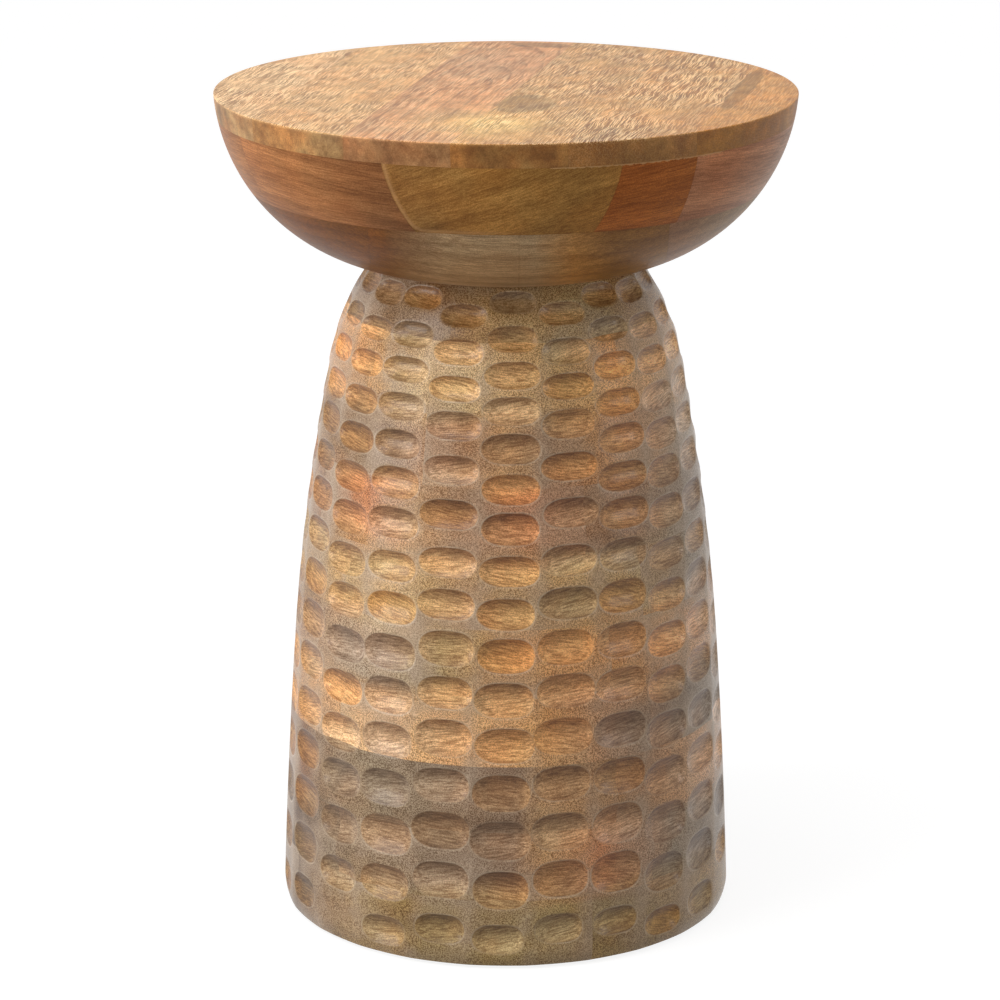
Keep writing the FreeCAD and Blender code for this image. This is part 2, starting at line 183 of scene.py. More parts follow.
# a group with the named inputs and outputs, which are plain numbers unless their name has a kind of its own
def newGroup(name, inputs, outputs):
    group = bpy.data.node_groups.new(name, "ShaderNodeTree")
    for direction, labels in (("INPUT", inputs), ("OUTPUT", outputs)):
        for label in labels:
            kind = socketKinds.get(label, "NodeSocketFloat")
            group.interface.new_socket(label, in_out=direction, socket_type=kind)
    return group, group.nodes.new("NodeGroupInput").outputs, group.nodes.new("NodeGroupOutput")


# links the sockets and sets the plain values among a node's inputs
def feed(tree, node, values):
    for key, value in values.items():
        if isinstance(value, bpy.types.NodeSocket):
            tree.links.new(value, node.inputs[key])
        else:
            node.inputs[key].default_value = value


def addNode(tree, kind, values=None, **settings):
    node = tree.nodes.new(kind)
    for key, value in settings.items():
        setattr(node, key, value)
    feed(tree, node, values or {})
    return node


def placeGroup(tree, group, values):
    return addNode(tree, "ShaderNodeGroup", values, node_tree=group)


def mathNode(tree, operation, *values, clamp=False):
    node = addNode(tree, "ShaderNodeMath", dict(enumerate(values)), operation=operation, use_clamp=clamp)
    return node.outputs[0]


# the product of several values
def times(tree, first, *others):
    for other in others:
        first = mathNode(tree, "MULTIPLY", first, other)
    return first


# a value times a gain, plus a start
def scaled(tree, value, gain, start):
    return mathNode(tree, "MULTIPLY_ADD", value, gain, start)


def vectorNode(tree, operation, *values):
    return addNode(tree, "ShaderNodeVectorMath", dict(enumerate(values)), operation=operation).outputs[0]


def mixColour(tree, blend, factor, first, second):
    values = {0: factor, 6: first, 7: second}  # sockets of a mix of colours
    return addNode(tree, "ShaderNodeMix", values, data_type="RGBA", blend_type=blend).outputs[2]


def opaque(tone):
    return (*tone, 1.0)


# a tone times a fixed tint
def tint(tree, tone, red, green, blue):
    return mixColour(tree, "MULTIPLY", 1.0, tone, (red, green, blue, 1.0))


def rangeNode(tree, value, low, high, start=0.0, end=1.0, smooth=True):
    node = addNode(tree, "ShaderNodeMapRange", {0: value, 1: low, 2: high, 3: start, 4: end})
    node.interpolation_type = "SMOOTHSTEP" if smooth else "LINEAR"
    return node.outputs[0]


def noiseNode(tree, vector, scale, detail=3.0, roughness=0.55, distortion=0.0):
    values = {"Vector": vector, "Scale": scale, "Detail": detail, "Roughness": roughness,
              "Distortion": distortion}
    return addNode(tree, "ShaderNodeTexNoise", values).outputs["Fac"]


# noise about zero
def swayNode(tree, vector, *noise):
    return mathNode(tree, "SUBTRACT", noiseNode(tree, vector, *noise), 0.5)


# noise spread out between two edges
def cloudNode(tree, vector, noise, edges):
    return rangeNode(tree, noiseNode(tree, vector, *noise), *edges)


# scale, detail, roughness and distortion of the noise, then its edges
grainNoise = {
    "Band": ((70.0, 3.0, 0.5, 0.4), (0.32, 0.68)),
    "Streak": ((950.0, 4.0, 0.62, 0.3), (0.33, 0.67)),
    "Pore": ((1900.0, 2.0, 0.5), (0.54, 0.68)),
}


# streaks that run along the first axis of the grain, from soft bands down to pores
def makeGrainGroup():
    group, given, result = newGroup("grainStreaks", ["Vector", "Stretch"], grainNoise)
    shrink = mathNode(group, "DIVIDE", 1.0, given["Stretch"])
    scale = addNode(group, "ShaderNodeCombineXYZ", {0: shrink, 1: 1.0, 2: 1.0}).outputs[0]
    along = vectorNode(group, "MULTIPLY", given["Vector"], scale)
    feed(group, result, {label: cloudNode(group, along, *noise) for label, noise in grainNoise.items()})
    return group


# even sandy specks of a sanded and sealed face
def makeSpeckGroup():
    group, given, result = newGroup("sandSpecks", ["Vector", "Scale"], ["Speck"])
    fine = cloudNode(group, given["Vector"], (given["Scale"], 3.0, 0.7), (0.39, 0.61))
    feed(group, result, {"Speck": fine})
    return group


# growth rings: the distance from the heart, made uneven, over the spacing; its fraction climbs slowly
# and drops fast, which gives thin late-wood lines
def makeRingGroup():
    group, given, result = newGroup("growthRings", ["Vector", "Spacing", "Wander"], ["Line"])
    distance = addNode(group, "ShaderNodeVectorMath", {0: given["Vector"]}, operation="LENGTH")
    bend = swayNode(group, given["Vector"], 30.0, 3.0, 0.5)
    moved = scaled(group, bend, given["Wander"], distance.outputs["Value"])
    turn = mathNode(group, "FRACT", mathNode(group, "DIVIDE", moved, given["Spacing"]))
    line = times(group, rangeNode(group, turn, 0.35, 0.9), rangeNode(group, turn, 1.0, 0.93))
    feed(group, result, {"Line": line})
    return group


# darkens or lightens a tone by a value around one half, warmer in the dark than in the light
def makeShadeGroup():
    group, given, result = newGroup("toneShade", ["Tone", "Value", "Amount"], ["Color"])
    tone = given["Tone"]
    deep = tint(group, tone, 0.46, 0.36, 0.27)
    pale = tint(group, tone, 1.55, 1.62, 1.70)
    shaded = mixColour(group, "MIX", given["Value"], deep, pale)
    feed(group, result, {"Color": mixColour(group, "MIX", given["Amount"], tone, shaded)})
    return group


grainGroup = makeGrainGroup()
speckGroup = makeSpeckGroup()
ringGroup = makeRingGroup()
shadeGroup = makeShadeGroup()


# materials

def newMaterial(name):
    material = bpy.data.materials.new(name)
    material.use_nodes = True
    return material, material.node_tree, material.node_tree.nodes["Principled BSDF"]


def field(tree, name, output="Fac"):
    return addNode(tree, "ShaderNodeAttribute", attribute_name=name).outputs[output]


def objectPlace(tree):
    return addNode(tree, "ShaderNodeTexCoord").outputs["Object"]


def shade(tree, tone, value, amount):
    return placeGroup(tree, shadeGroup, {"Tone": tone, "Value": value, "Amount": amount}).outputs["Color"]


# cloudy drift of a tone to its redder and to its greyer side
def warmTone(tree, tone, vector, scale, amount):
    cloud = cloudNode(tree, vector, (scale,), (0.36, 0.64))
    red = tint(tree, tone, 1.16, 0.92, 0.74)
    grey = tint(tree, tone, 0.86, 1.0, 1.16)
    return mixColour(tree, "MIX", amount, tone, mixColour(tree, "MIX", cloud, grey, red))


def bumpNode(tree, height, strength, distance):
    values = {"Strength": strength, "Distance": distance, "Height": height}
    return addNode(tree, "ShaderNodeBump", values).outputs[0]


# pores as a shade that only darkens
def poreShade(tree, pore):
    return scaled(tree, pore, -0.5, 0.5)


def ringLine(tree, spacing, wander):
    values = {"Vector": field(tree, "rings", "Vector"), "Spacing": spacing, "Wander": wander}
    return placeGroup(tree, ringGroup, values).outputs["Line"]


# what every finished wood starts from: its grain's coordinates, streaks, specks and banded tone
def startWood(tree, look):
    vector = field(tree, "grain", "Vector")
    grain = placeGroup(tree, grainGroup, {"Vector": vector, "Stretch": look["stretch"]}).outputs
    speck = placeGroup(tree, speckGroup, {"Vector": vector, "Scale": look["speckScale"]}).outputs["Speck"]
    tone = warmTone(tree, field(tree, "tone", "Color"), vector, *look["warmth"])
    return vector, grain, speck, shade(tree, tone, grain["Band"], look["band"])


# in the finishes below, noise is scale, detail, roughness and distortion, and edges may be followed
# by the values that they give
carvedFinish = {
    "stretch": 10.0,  # length of a streak of grain for its width
    "speckScale": 1250.0,
    "warmth": (26.0, 0.3),  # scale and strength of the drift in tone
    "band": 0.25,
    "scoop": (0.02, 0.12),  # share of the depth at which fresh wood starts and is full
    "clouds": ((20.0,), (0.34, 0.66, 0.15, 1.85)),  # noise of the grey and painted sheen, its edges, least and most of it
    "landTint": (1.0, 0.975, 0.86),
    "landSpeck": (0.05, 0.8, 1.0, 0.5),  # little and much grey, specks there
    "streak": 0.75,
    "pore": 0.7,
    "speck": 0.45,
    "paintedMarkLight": (0.1, 0.85, 0.9),  # value of the painted shade, value of the painted highlight, strength of both
    "wearAndHighlight": (0.15, 1.85, 0.1, 0.5),  # least and most grey, pale rim of a gouge mark there: part wear, part painted highlight
    "wearAndHighlightTone": paint(222, 200, 172),
    "roughness": (0.3, 0.06, 0.12),  # of land, more in a gouge mark, more on a speck
    "coat": (0.3, 0.08),  # on land, more in a gouge mark
    "speckHeight": 0.3,  # for the height of a streak
    "bump": (0.3, 0.0004),  # strength, metres
}


# pedestal: sanded land with sandy specks, and gouge marks that lay bare streaked fresh wood
def makeCarvedWood():
    look = carvedFinish
    material, tree, shader = newMaterial("carvedWood")
    vector, grain, speck, banded = startWood(tree, look)
    scoop = rangeNode(tree, field(tree, "scoop"), *look["scoop"])
    cloud = cloudNode(tree, vector, *look["clouds"])
    # land drawn towards a pale taupe in clouds: partly grey wood, partly painted sheen
    greyAndSheen = times(tree, field(tree, "ash"), cloud)
    land = mixColour(tree, "MIX", greyAndSheen, tint(tree, banded, *look["landTint"]), opaque(woodTones["taupe"]))
    land = shade(tree, land, speck, rangeNode(tree, greyAndSheen, *look["landSpeck"]))
    fresh = shade(tree, banded, grain["Streak"], look["streak"])
    fresh = shade(tree, fresh, poreShade(tree, grain["Pore"]), look["pore"])
    fresh = shade(tree, fresh, speck, look["speck"])
    # each gouge mark gets painted shade along its edges and a painted highlight across its middle
    paintedShadeValue, paintedHighlight, strength = look["paintedMarkLight"]
    paintedMarkLight = field(tree, "paintedMarkLight")
    fresh = shade(tree, fresh, paintedShadeValue, mathNode(tree, "MULTIPLY", paintedMarkLight, strength, clamp=True))
    fresh = shade(tree, fresh, paintedHighlight, mathNode(tree, "MULTIPLY", paintedMarkLight, -strength, clamp=True))
    colour = mixColour(tree, "MIX", scoop, land, fresh)
    # pale rim of each gouge mark: part wear, part painted highlight
    wearAndHighlight = times(tree, field(tree, "rim"), rangeNode(tree, cloud, *look["wearAndHighlight"]))
    roughLand, roughMark, roughSpeck = look["roughness"]
    coatLand, coatMark = look["coat"]
    height = scaled(tree, speck, look["speckHeight"], times(tree, grain["Streak"], scoop))
    feed(tree, shader, {
        "Base Color": mixColour(tree, "MIX", wearAndHighlight, colour, opaque(look["wearAndHighlightTone"])),
        "Roughness": scaled(tree, speck, roughSpeck, scaled(tree, scoop, roughMark, roughLand)),
        "Coat Weight": scaled(tree, scoop, coatMark, coatLand),
        "Normal": bumpNode(tree, height, *look["bump"]),
        "Specular IOR Level": 0.1,
        "Coat Roughness": 0.22,
    })
    return material


turnedFinish = {
    "stretch": 18.0,
    "speckScale": 1300.0,
    "warmth": (18.0, 0.25),
    "band": 0.28,
    "rings": (0.009, 0.014),  # spacing and wander, metres
    "ring": 0.35,
    "streak": 0.45,
    "pore": 0.4,
    "speck": 0.35,
    "seam": (0.0008, 0.0003, 0.0, 0.25),  # metres from a joint, how dark it is there
    "seamShade": 0.1,
    "chipNoise": (330.0, 3.0, 0.65),
    "chips": (1.22, 1.32, 0.0, 0.6),  # edges of the chipped glue, strength
    # strength of the painted highlight along one rim block's edge
    "bevel": 0.5,
    "roughness": (0.34, 0.12),  # least, more on a speck
    "bump": (0.14, 0.0004),
}


# bowl sides: smoothly turned wood with long even grain under satin lacquer,
# pale glue where a joint is chipped, and a painted highlight along one rim block's left and lower edge
def makeTurnedWood():
    look = turnedFinish
    material, tree, shader = newMaterial("turnedWood")
    vector, grain, speck, colour = startWood(tree, look)
    colour = shade(tree, colour, scaled(tree, ringLine(tree, *look["rings"]), -0.4, 0.5), look["ring"])
    colour = shade(tree, colour, grain["Streak"], look["streak"])
    colour = shade(tree, colour, poreShade(tree, grain["Pore"]), look["pore"])
    colour = shade(tree, colour, speck, look["speck"])
    colour = shade(tree, colour, look["seamShade"], rangeNode(tree, field(tree, "seam"), *look["seam"]))
    chips = mathNode(tree, "ADD", field(tree, "glue"), noiseNode(tree, vector, *look["chipNoise"]))
    glue = rangeNode(tree, chips, *look["chips"])
    colour = mixColour(tree, "MIX", glue, colour, opaque(woodTones["cream"]))
    # painted highlight along one rim block's left and lower edge
    bevel = times(tree, field(tree, "bevel"), look["bevel"])
    least, more = look["roughness"]
    feed(tree, shader, {
        "Base Color": mixColour(tree, "MIX", bevel, colour, opaque(woodTones["honey"])),
        "Roughness": scaled(tree, speck, more, least),
        "Normal": bumpNode(tree, grain["Streak"], *look["bump"]),
        "Specular IOR Level": 0.05,
        "Coat Weight": 0.1,
        "Coat Roughness": 0.28,
    })
    return material


topFinish = {
    "stretch": 22.0,
    "speckScale": 1300.0,
    "warmth": (20.0, 0.22),
    "band": 0.18,
    "rings": (0.0075, 0.017),
    "ringPower": 2.5,  # thins the lines of the figure
    "patchy": ((28.0, 3.0, 0.6), (0.4, 0.6, 0.3, 0.9)),  # noise, its edges, least and most of the figure
    "streak": 0.15,
    "mottle": ((48.0, 4.0, 0.62), (0.36, 0.64)),
    "mottleShade": 0.3,
    "knotNoise": (60.0, 4.0, 0.65),
    "knotEdges": (0.42, 0.6),
    "knotTint": (0.6, 0.62, 0.6),
    "curlNoise": (30.0, 3.0, 0.6),
    "swing": 0.009,  # metres by which curly grain swings aside
    "rain": ((17.0, 4.0, 0.65), (0.38, 0.6, 0.4, 1.0)),  # noise, its edges, least and most flecks
    "fleckNoise": (1500.0, 2.0, 0.5, 0.3),
    "fleckWidth": 0.036,  # for its length
    "fleckTone": paint(255, 228, 180),
    "fleckMix": 0.55,
    "darkEdges": (0.53, 0.42, 0.15, 0.85),  # of the wood between flecks, least and most
    "paleEdges": (0.515, 0.55),  # of the flecks
    "rimWarmth": (34.0, 0.7),
    "rimTint": (0.45, 0.4, 0.31),
    "rimMottle": ((90.0, 4.0, 0.65), (0.32, 0.68)),
    "rimShade": 0.7,
    "speck": 0.25,
    "roughness": (0.4, 0.14),
    "bump": (0.12, 0.0004),
}


# top: boards with ring figure and a dense rain of short pale flecks,
# darker where the rim cuts across the grain
def makeTopWood():
    look = topFinish
    material, tree, shader = newMaterial("topWood")
    vector, grain, speck, colour = startWood(tree, look)
    endGrain = field(tree, "endGrain")
    face = mathNode(tree, "SUBTRACT", 1.0, endGrain)
    figure = times(tree, field(tree, "figure"), face, cloudNode(tree, vector, *look["patchy"]))
    thin = mathNode(tree, "POWER", ringLine(tree, *look["rings"]), look["ringPower"])
    colour = shade(tree, colour, scaled(tree, thin, -0.5, 0.5), figure)
    colour = shade(tree, colour, grain["Streak"], look["streak"])
    colour = shade(tree, colour, cloudNode(tree, vector, *look["mottle"]), look["mottleShade"])
    ragged = swayNode(tree, vector, *look["knotNoise"])
    knot = rangeNode(tree, scaled(tree, ragged, 0.5, field(tree, "knot")), *look["knotEdges"])
    colour = mixColour(tree, "MIX", knot, colour, tint(tree, colour, *look["knotTint"]))
    bend = swayNode(tree, vector, *look["curlNoise"])
    bend = times(tree, bend, times(tree, field(tree, "curl"), look["swing"]))
    aside = addNode(tree, "ShaderNodeCombineXYZ", {1: bend}).outputs[0]
    swung = vectorNode(tree, "ADD", vector, aside)
    drawnOut = vectorNode(tree, "MULTIPLY", swung, (look["fleckWidth"], 1.0, 1.0))
    dots = noiseNode(tree, drawnOut, *look["fleckNoise"])
    rain = cloudNode(tree, vector, *look["rain"])
    rain = times(tree, rain, field(tree, "fleck"), face, scaled(tree, knot, -0.5, 1.0))
    light = shade(tree, colour, 1.0, 1.0)
    light = mixColour(tree, "MIX", look["fleckMix"], light, opaque(look["fleckTone"]))
    dark = times(tree, rangeNode(tree, dots, *look["darkEdges"]), rain)
    pale = times(tree, rangeNode(tree, dots, *look["paleEdges"]), rain)
    colour = mixColour(tree, "MIX", pale, shade(tree, colour, 0.0, dark), light)
    cut = tint(tree, warmTone(tree, colour, vector, *look["rimWarmth"]), *look["rimTint"])
    cut = shade(tree, cut, cloudNode(tree, vector, *look["rimMottle"]), look["rimShade"])
    colour = mixColour(tree, "MIX", endGrain, colour, cut)
    least, more = look["roughness"]
    feed(tree, shader, {
        "Base Color": shade(tree, colour, speck, look["speck"]),
        "Roughness": scaled(tree, speck, more, least),
        "Normal": bumpNode(tree, grain["Streak"], *look["bump"]),
        "Specular IOR Level": 0.2,
        "Coat Weight": 0.06,
        "Coat Roughness": 0.34,
    })
    return material


feltFinish = {
    "tone": paint(92, 78, 66),
    "fibres": (2600.0, 5.0, 0.7, 2.5),
    "clumps": (420.0, 3.0, 0.6),
    "shares": (0.6, 0.4),  # of fibres and of clumps
    "edges": (0.36, 0.64),
    "shade": 0.9,
    "roughness": (0.3, 0.7, 0.86, 1.0),
    "bump": (0.7, 0.0008),
}


# felt: matted fibres in every direction, thin and thick
def makeFeltCloth():
    look = feltFinish
    material, tree, shader = newMaterial("feltCloth")
    place = objectPlace(tree)
    fibres = noiseNode(tree, place, *look["fibres"])
    clumps = noiseNode(tree, place, *look["clumps"])
    fibreShare, clumpShare = look["shares"]
    mixed = scaled(tree, clumps, clumpShare, times(tree, fibres, fibreShare))
    matted = rangeNode(tree, mixed, *look["edges"])
    feed(tree, shader, {
        "Base Color": shade(tree, opaque(look["tone"]), matted, look["shade"]),
        "Roughness": rangeNode(tree, fibres, *look["roughness"]),
        "Normal": bumpNode(tree, mixed, *look["bump"]),
        "Specular IOR Level": 0.15,
        "Sheen Weight": 0.35,
    })
    return material


zincFinish = {
    "dark": paint(168, 166, 160),
    "light": paint(206, 204, 196),
    "spangle": ((260.0, 3.0, 0.6), (0.35, 0.65)),
    "lines": (900.0, 3.0, 0.6),
    "squeeze": (1.0, 1.0, 9.0),  # packs the lines along the axis
    "lineEdges": (0.3, 0.7),
    "lineShade": 0.18,
    "roughness": (0.4, 1.4, 0.24, 0.46),
    "bump": (0.1, 0.0002),
}


# zinc plate: a pale metal with a cloudy spangle and fine drawing lines
def makeZincSteel():
    look = zincFinish
    material, tree, shader = newMaterial("zincSteel")
    place = objectPlace(tree)
    cloud = cloudNode(tree, place, *look["spangle"])
    lines = noiseNode(tree, vectorNode(tree, "MULTIPLY", place, look["squeeze"]), *look["lines"])
    colour = mixColour(tree, "MIX", cloud, opaque(look["dark"]), opaque(look["light"]))
    drawn = rangeNode(tree, lines, *look["lineEdges"])
    feed(tree, shader, {
        "Base Color": shade(tree, colour, drawn, look["lineShade"]),
        "Roughness": rangeNode(tree, mathNode(tree, "ADD", cloud, lines), *look["roughness"]),
        "Normal": bumpNode(tree, lines, *look["bump"]),
        "Metallic": 1.0,
    })
    return material


dowelFinish = {
    "stretch": 24.0,
    "band": 0.25,
    "streak": 0.35,
    "roughness": (0.0, 1.0, 0.55, 0.75),
    "bump": (0.2, 0.0003),
}


# dowels: pale raw wood with close straight grain
def makeDowelWood():
    look = dowelFinish
    material, tree, shader = newMaterial("dowelWood")
    turned = {"Vector": objectPlace(tree), "Rotation": (0.0, math.pi / 2, 0.0)}
    upright = addNode(tree, "ShaderNodeMapping", turned).outputs[0]
    grain = placeGroup(tree, grainGroup, {"Vector": upright, "Stretch": look["stretch"]}).outputs
    colour = shade(tree, opaque(woodTones["cream"]), grain["Band"], look["band"])
    feed(tree, shader, {
        "Base Color": shade(tree, colour, grain["Streak"], look["streak"]),
        "Roughness": rangeNode(tree, grain["Streak"], *look["roughness"]),
        "Normal": bumpNode(tree, grain["Streak"], *look["bump"]),
    })
    return material


carvedWood = makeCarvedWood()
turnedWood = makeTurnedWood()
topWood = makeTopWood()
feltCloth = makeFeltCloth()
zincSteel = makeZincSteel()
dowelWood = makeDowelWood()
print("materials")


# pedestal: ring courses of carved blocks

pedestal = {
    "foot": 2.5,
    "courseHeight": 45.3,
    "crownHeight": 33.0,
    "outline": ((149.6, 0.0, 30.0), (151.7, 12.0, 5300.0), (142.7, 180.0, 1590.0),
                (117.2, 374.0, 165.0), (87.5, 440.7, None)),  # radius, height, bend of the arc that follows
    "bore": (108.0, 66.0),  # radius at the foot and under the crown
    "blocks": 4,  # in each course
    "courseTurns": (22.0, 41.0, -60.0, 41.0, -61.0, 40.0, 23.0, -25.0, 40.0),
    "crownTurn": -20.0,
    "stepAlong": 0.85,
    "stepUp": 0.7,
    "flatness": 0.2,
    "sharpAngle": 50.0,
    "grainShifts": (410.0, 37.0, 91.0),  # give each block wood of its own
    "sharpJoints": (3, 9),  # courses below the joint
    "toneReach": 11.0,
    "toneWave": (0.5, 7.0, 2.3),  # its sway round the axis: share, waves in a turn, shift at each joint
    "blockShade": 0.05,  # how much lighter or darker one block is than the next
    "ash": (0.26, 0.35, 0.22),  # grey of the land at the foot, half way up and at the crown
    "greyAndSheenTurn": ((0.0, 35.0, 70.0, 130.0), (0.65, 1.0, 1.3, 0.7)),  # degrees from the barest side, share; its rise to the sides is a painted sheen
    "barest": 8.0,  # angle of that side
    "gapSheen": 0.12,  # more of it between the columns, a painted sheen on the ridges
    "gapEdge": (0.25, 0.5),  # where that starts and is full, in columns
    "rimWidth": 0.75,  # pale rim of a gouge mark, part wear and part painted highlight, in lips
    "cutEdge": (0.02, 0.1),  # share of the depth at which a gouge mark's tone starts and is full
    "freshness": 0.28,  # how far a gouge mark's tone is drawn to that of fresh wood
    "lean": 0.25,  # most by which the grain of a gouge mark slopes
    "castTint": (0.09, 0.0, -0.17),  # how a gouge mark's own cast turns its tone
    "castShade": 0.15,
    "paintedMarkLight": (1.0, 0.35, 0.7),  # painted shade along the upper and the lower edge of a gouge mark, painted highlight between them
    "paintedMarkLightEdges": ((0.1, 0.9), (-0.6, -1.0), (0.65, 0.05)),  # where each of these starts and is full
    "highlightDrop": 0.25,  # how far the painted highlight lies below the middle
}

gouges = {
    "rows": 16,
    "stagger": (0.0, 0.38, -0.05, 0.1, 0.02, 0.34, 0.06, 0.4, 0.0, 0.28, 0.05,
                0.42, 0.1, 0.36, -0.02, 0.3, 0.08, -0.03, 0.1, 0.03, 0.4),
    "slip": {1: 0.45, 2: -0.12, 18: 0.1, 19: 0.06, 20: 0.46},  # rows that some columns drop further down
    "slipRows": (3.0, 7.0),
    "width": 40.0,
    "depth": 3.3,
    "rowFill": 0.79,
    "columnFill": 0.98,
    "firstDrop": 9.2,
    "pitch": 20.6,
    "growth": 0.46,
    "sway": (-2.5, 2.5),
    "spread": ((0.0, 0.5, 0.72, 1.0), (-0.13, -0.045, 0.05, 0.098)),  # share of the height, spread
    "angleJitter": 0.35,
    "heightJitter": 0.7,
    "edgeRoom": 0.8,
    "lip": 0.3,
    "entryPower": 2.6,
    "stopPower": 3.6,
    "crossPower": 2.1,
    "widthJitter": 0.04,
    "tallJitter": 0.06,
    "footShrink": 0.26,
    "footZone": (60.0, 32.0),  # heights between which that grows
    "reach": 1.6,  # half sizes past which a gouge mark is not looked for
}

# tones that each course drifts through, bottom first and the crown last: angle from the front, tone
# the paler, greyer tones from about -38 to -24 degrees hold a painted sheen, and the dark tones at the far
# left of the lowest courses a painted shade
courseTones = (
    ((-70, "soot"), (-40, "khaki"), (-24, "bark"), (12, "olive"), (40, "bark"), (66, "khaki"),
     (180, "moss")),
    ((-70, "soot"), (-38, "drift"), (2, "plum"), (10, "honey"), (24, "rust"), (48, "slate"), (66, "lead"),
     (180, "brown")),
    ((-68, "peat"), (-38, "drift"), (3, "plum"), (9, "tan"), (36, "brown"), (66, "blush"), (180, "taupe")),
    ((-70, "caramel"), (-38, "pearl"), (4, "apricot"), (26, "rose"), (46, "plum"), (70, "lead"),
     (180, "tan")),
    ((-68, "brown"), (-37, "ash"), (-18, "olive"), (12, "peach"), (40, "peach"), (66, "blush"),
     (180, "olive")),
    ((-68, "khaki"), (-36, "wheat"), (-10, "tan"), (20, "wheat"), (66, "slate"), (180, "olive")),
    ((-68, "cocoa"), (-44, "rust"), (-26, "tan"), (-14, "brown"), (6, "rust"), (34, "brown"), (66, "slate"),
     (180, "rust")),
    ((-70, "umber"), (-38, "umber"), (-25, "rose"), (-12, "brown"), (0, "honey"), (12, "brown"),
     (38, "peach"), (66, "ash"), (180, "olive")),
    ((-60, "peach"), (-38, "moss"), (-26, "oat"), (0, "oat"), (18, "gold"), (40, "apricot"), (60, "pearl"),
     (180, "gold")),
    ((-65, "umber"), (-24, "umber"), (-10, "khaki"), (26, "sage"), (55, "khaki"), (180, "umber")),
)


# centre of the arc between two outline points that bulges outwards
def arcCentre(first, last, bend):
    first, last = np.array(first), np.array(last)
    along = last - first
    span = np.hypot(*along)
    inwards = np.array([-along[1], along[0]]) / span
    return (first + last) / 2 + inwards * math.sqrt(bend**2 - span**2 / 4)


# radius and slope of the turned outline at given heights, arc by arc
def outlineAt(height):
    height = np.asarray(height, float)
    radius, slope = np.zeros_like(height), np.zeros_like(height)
    points = pedestal["outline"]
    for (r0, z0, bend), (r1, z1, _) in zip(points, points[1:]):
        centre = arcCentre((r0, z0), (r1, z1), bend)
        rise = np.clip(height, z0, z1) - centre[1]
        reach = np.sqrt(bend**2 - rise**2)
        inside = (height >= z0) & (height <= z1)
        radius = np.where(inside, centre[0] + reach, radius)
        slope = np.where(inside, -rise / reach, slope)
    return radius, slope


# the same fixed unevenness as in the solids: the fraction of a large sine
def jitter(column, row, salt):
    wave = np.sin(12.9898 * (column + 1) + 78.233 * (row + 1) + 37.719 * salt) * 43758.5453
    return 2.0 * (wave - np.floor(wave)) - 1.0


def pedestalHeight():
    return pedestal["outline"][-1][1]


# sway and spread of the columns at a share of the height
def columnDrift(share):
    sway = np.radians(gouges["sway"][0] + (gouges["sway"][1] - gouges["sway"][0]) * share)
    return sway, np.interp(share, *gouges["spread"])


# every mark: rows that widen downwards in columns that are dropped by their stagger
def gougeMarks():
    tall = pedestalHeight()
    columns = len(gouges["stagger"])
    column, row = np.meshgrid(np.arange(columns), np.arange(gouges["rows"]), indexing="ij")
    place = row + np.array(gouges["stagger"])[:, None]
    slip = np.array([gouges["slip"].get(index, 0.0) for index in range(columns)])[:, None]
    place = place + slip * ease(*gouges["slipRows"], place)
    halfHeight = gouges["rowFill"] * (gouges["pitch"] + 2 * gouges["growth"] * place) / 2
    height = tall - gouges["firstDrop"] - gouges["pitch"] * place - gouges["growth"] * place**2
    height = height + gouges["heightJitter"] * jitter(column, row, 1)
    height = np.minimum(height, tall - halfHeight - gouges["edgeRoom"])
    sway, spread = columnDrift(height / tall)
    even = sway + 2 * np.pi * column / columns
    angle = even + spread * np.sin(even) + np.radians(gouges["angleJitter"] * jitter(column, row, 2))
    radius, slope = outlineAt(np.maximum(height, 0.0))
    room = 2 * np.pi / columns * (1 + spread * np.cos(even)) * radius
    halfWidth = np.minimum(gouges["width"], gouges["columnFill"] * room) / 2
    kept = height >= halfHeight + gouges["edgeRoom"]
    halfWidth = halfWidth * (1.0 + gouges["widthJitter"] * jitter(column, row, 3))
    halfHeight = halfHeight * (1.0 + gouges["tallJitter"] * jitter(column, row, 4))
    lowest = 1.0 - gouges["footShrink"] * ease(*gouges["footZone"], height)
    halfWidth, halfHeight = halfWidth * np.sqrt(lowest), halfHeight * lowest
    hue, value = jitter(column, row, 5), jitter(column, row, 6)
    return np.stack([a[kept] for a in (angle, height, radius, slope, halfWidth, halfHeight, hue, value)], -1)


marks = gougeMarks()
print("gouge marks", len(marks))


# signed depth of the marks: 1 less a power of the distance across and a power of the distance along,
# so 1 at the middle of a rounded oval, 0 on its rim and less outside; the powers make a cut run in slowly
# on its left and stop short on its right; each point also takes its mark's own cast and its place in
# the mark, in millimetres across and from -1 to 1 between the lower and the upper edge
def markDepth(angle, height):
    best = np.full(angle.shape, -1.0)
    cast, place = np.zeros((*angle.shape, 2)), np.zeros((*angle.shape, 2))
    low, high = height.min(), height.max()
    first, last = angle.min(), angle.max()
    middle = (first + last) / 2
    for markAngle, markHeight, radius, slope, halfWidth, halfHeight, hue, value in marks:
        away = (markAngle - middle + np.pi) % (2 * np.pi) - np.pi
        beside = abs(away) > (last - first) / 2 + gouges["reach"] * halfWidth / radius
        under = markHeight + gouges["reach"] * halfHeight < low
        over = markHeight - gouges["reach"] * halfHeight > high
        if beside or under or over:
            continue
        turned = angle - (middle + away)
        across = np.where(np.cos(turned) > 0.0, radius * np.sin(turned) / halfWidth, 2.0)
        along = (height - markHeight) * math.hypot(1.0, slope) / halfHeight
        power = np.where(across < 0.0, gouges["entryPower"], gouges["stopPower"])
        here = 1.0 - np.abs(across) ** power - np.abs(along) ** gouges["crossPower"]
        cast[here > best] = hue, value
        place = np.where((here > best)[..., None], np.stack([across * halfWidth, along], -1), place)
        best = np.maximum(best, here)
    return best, cast, place


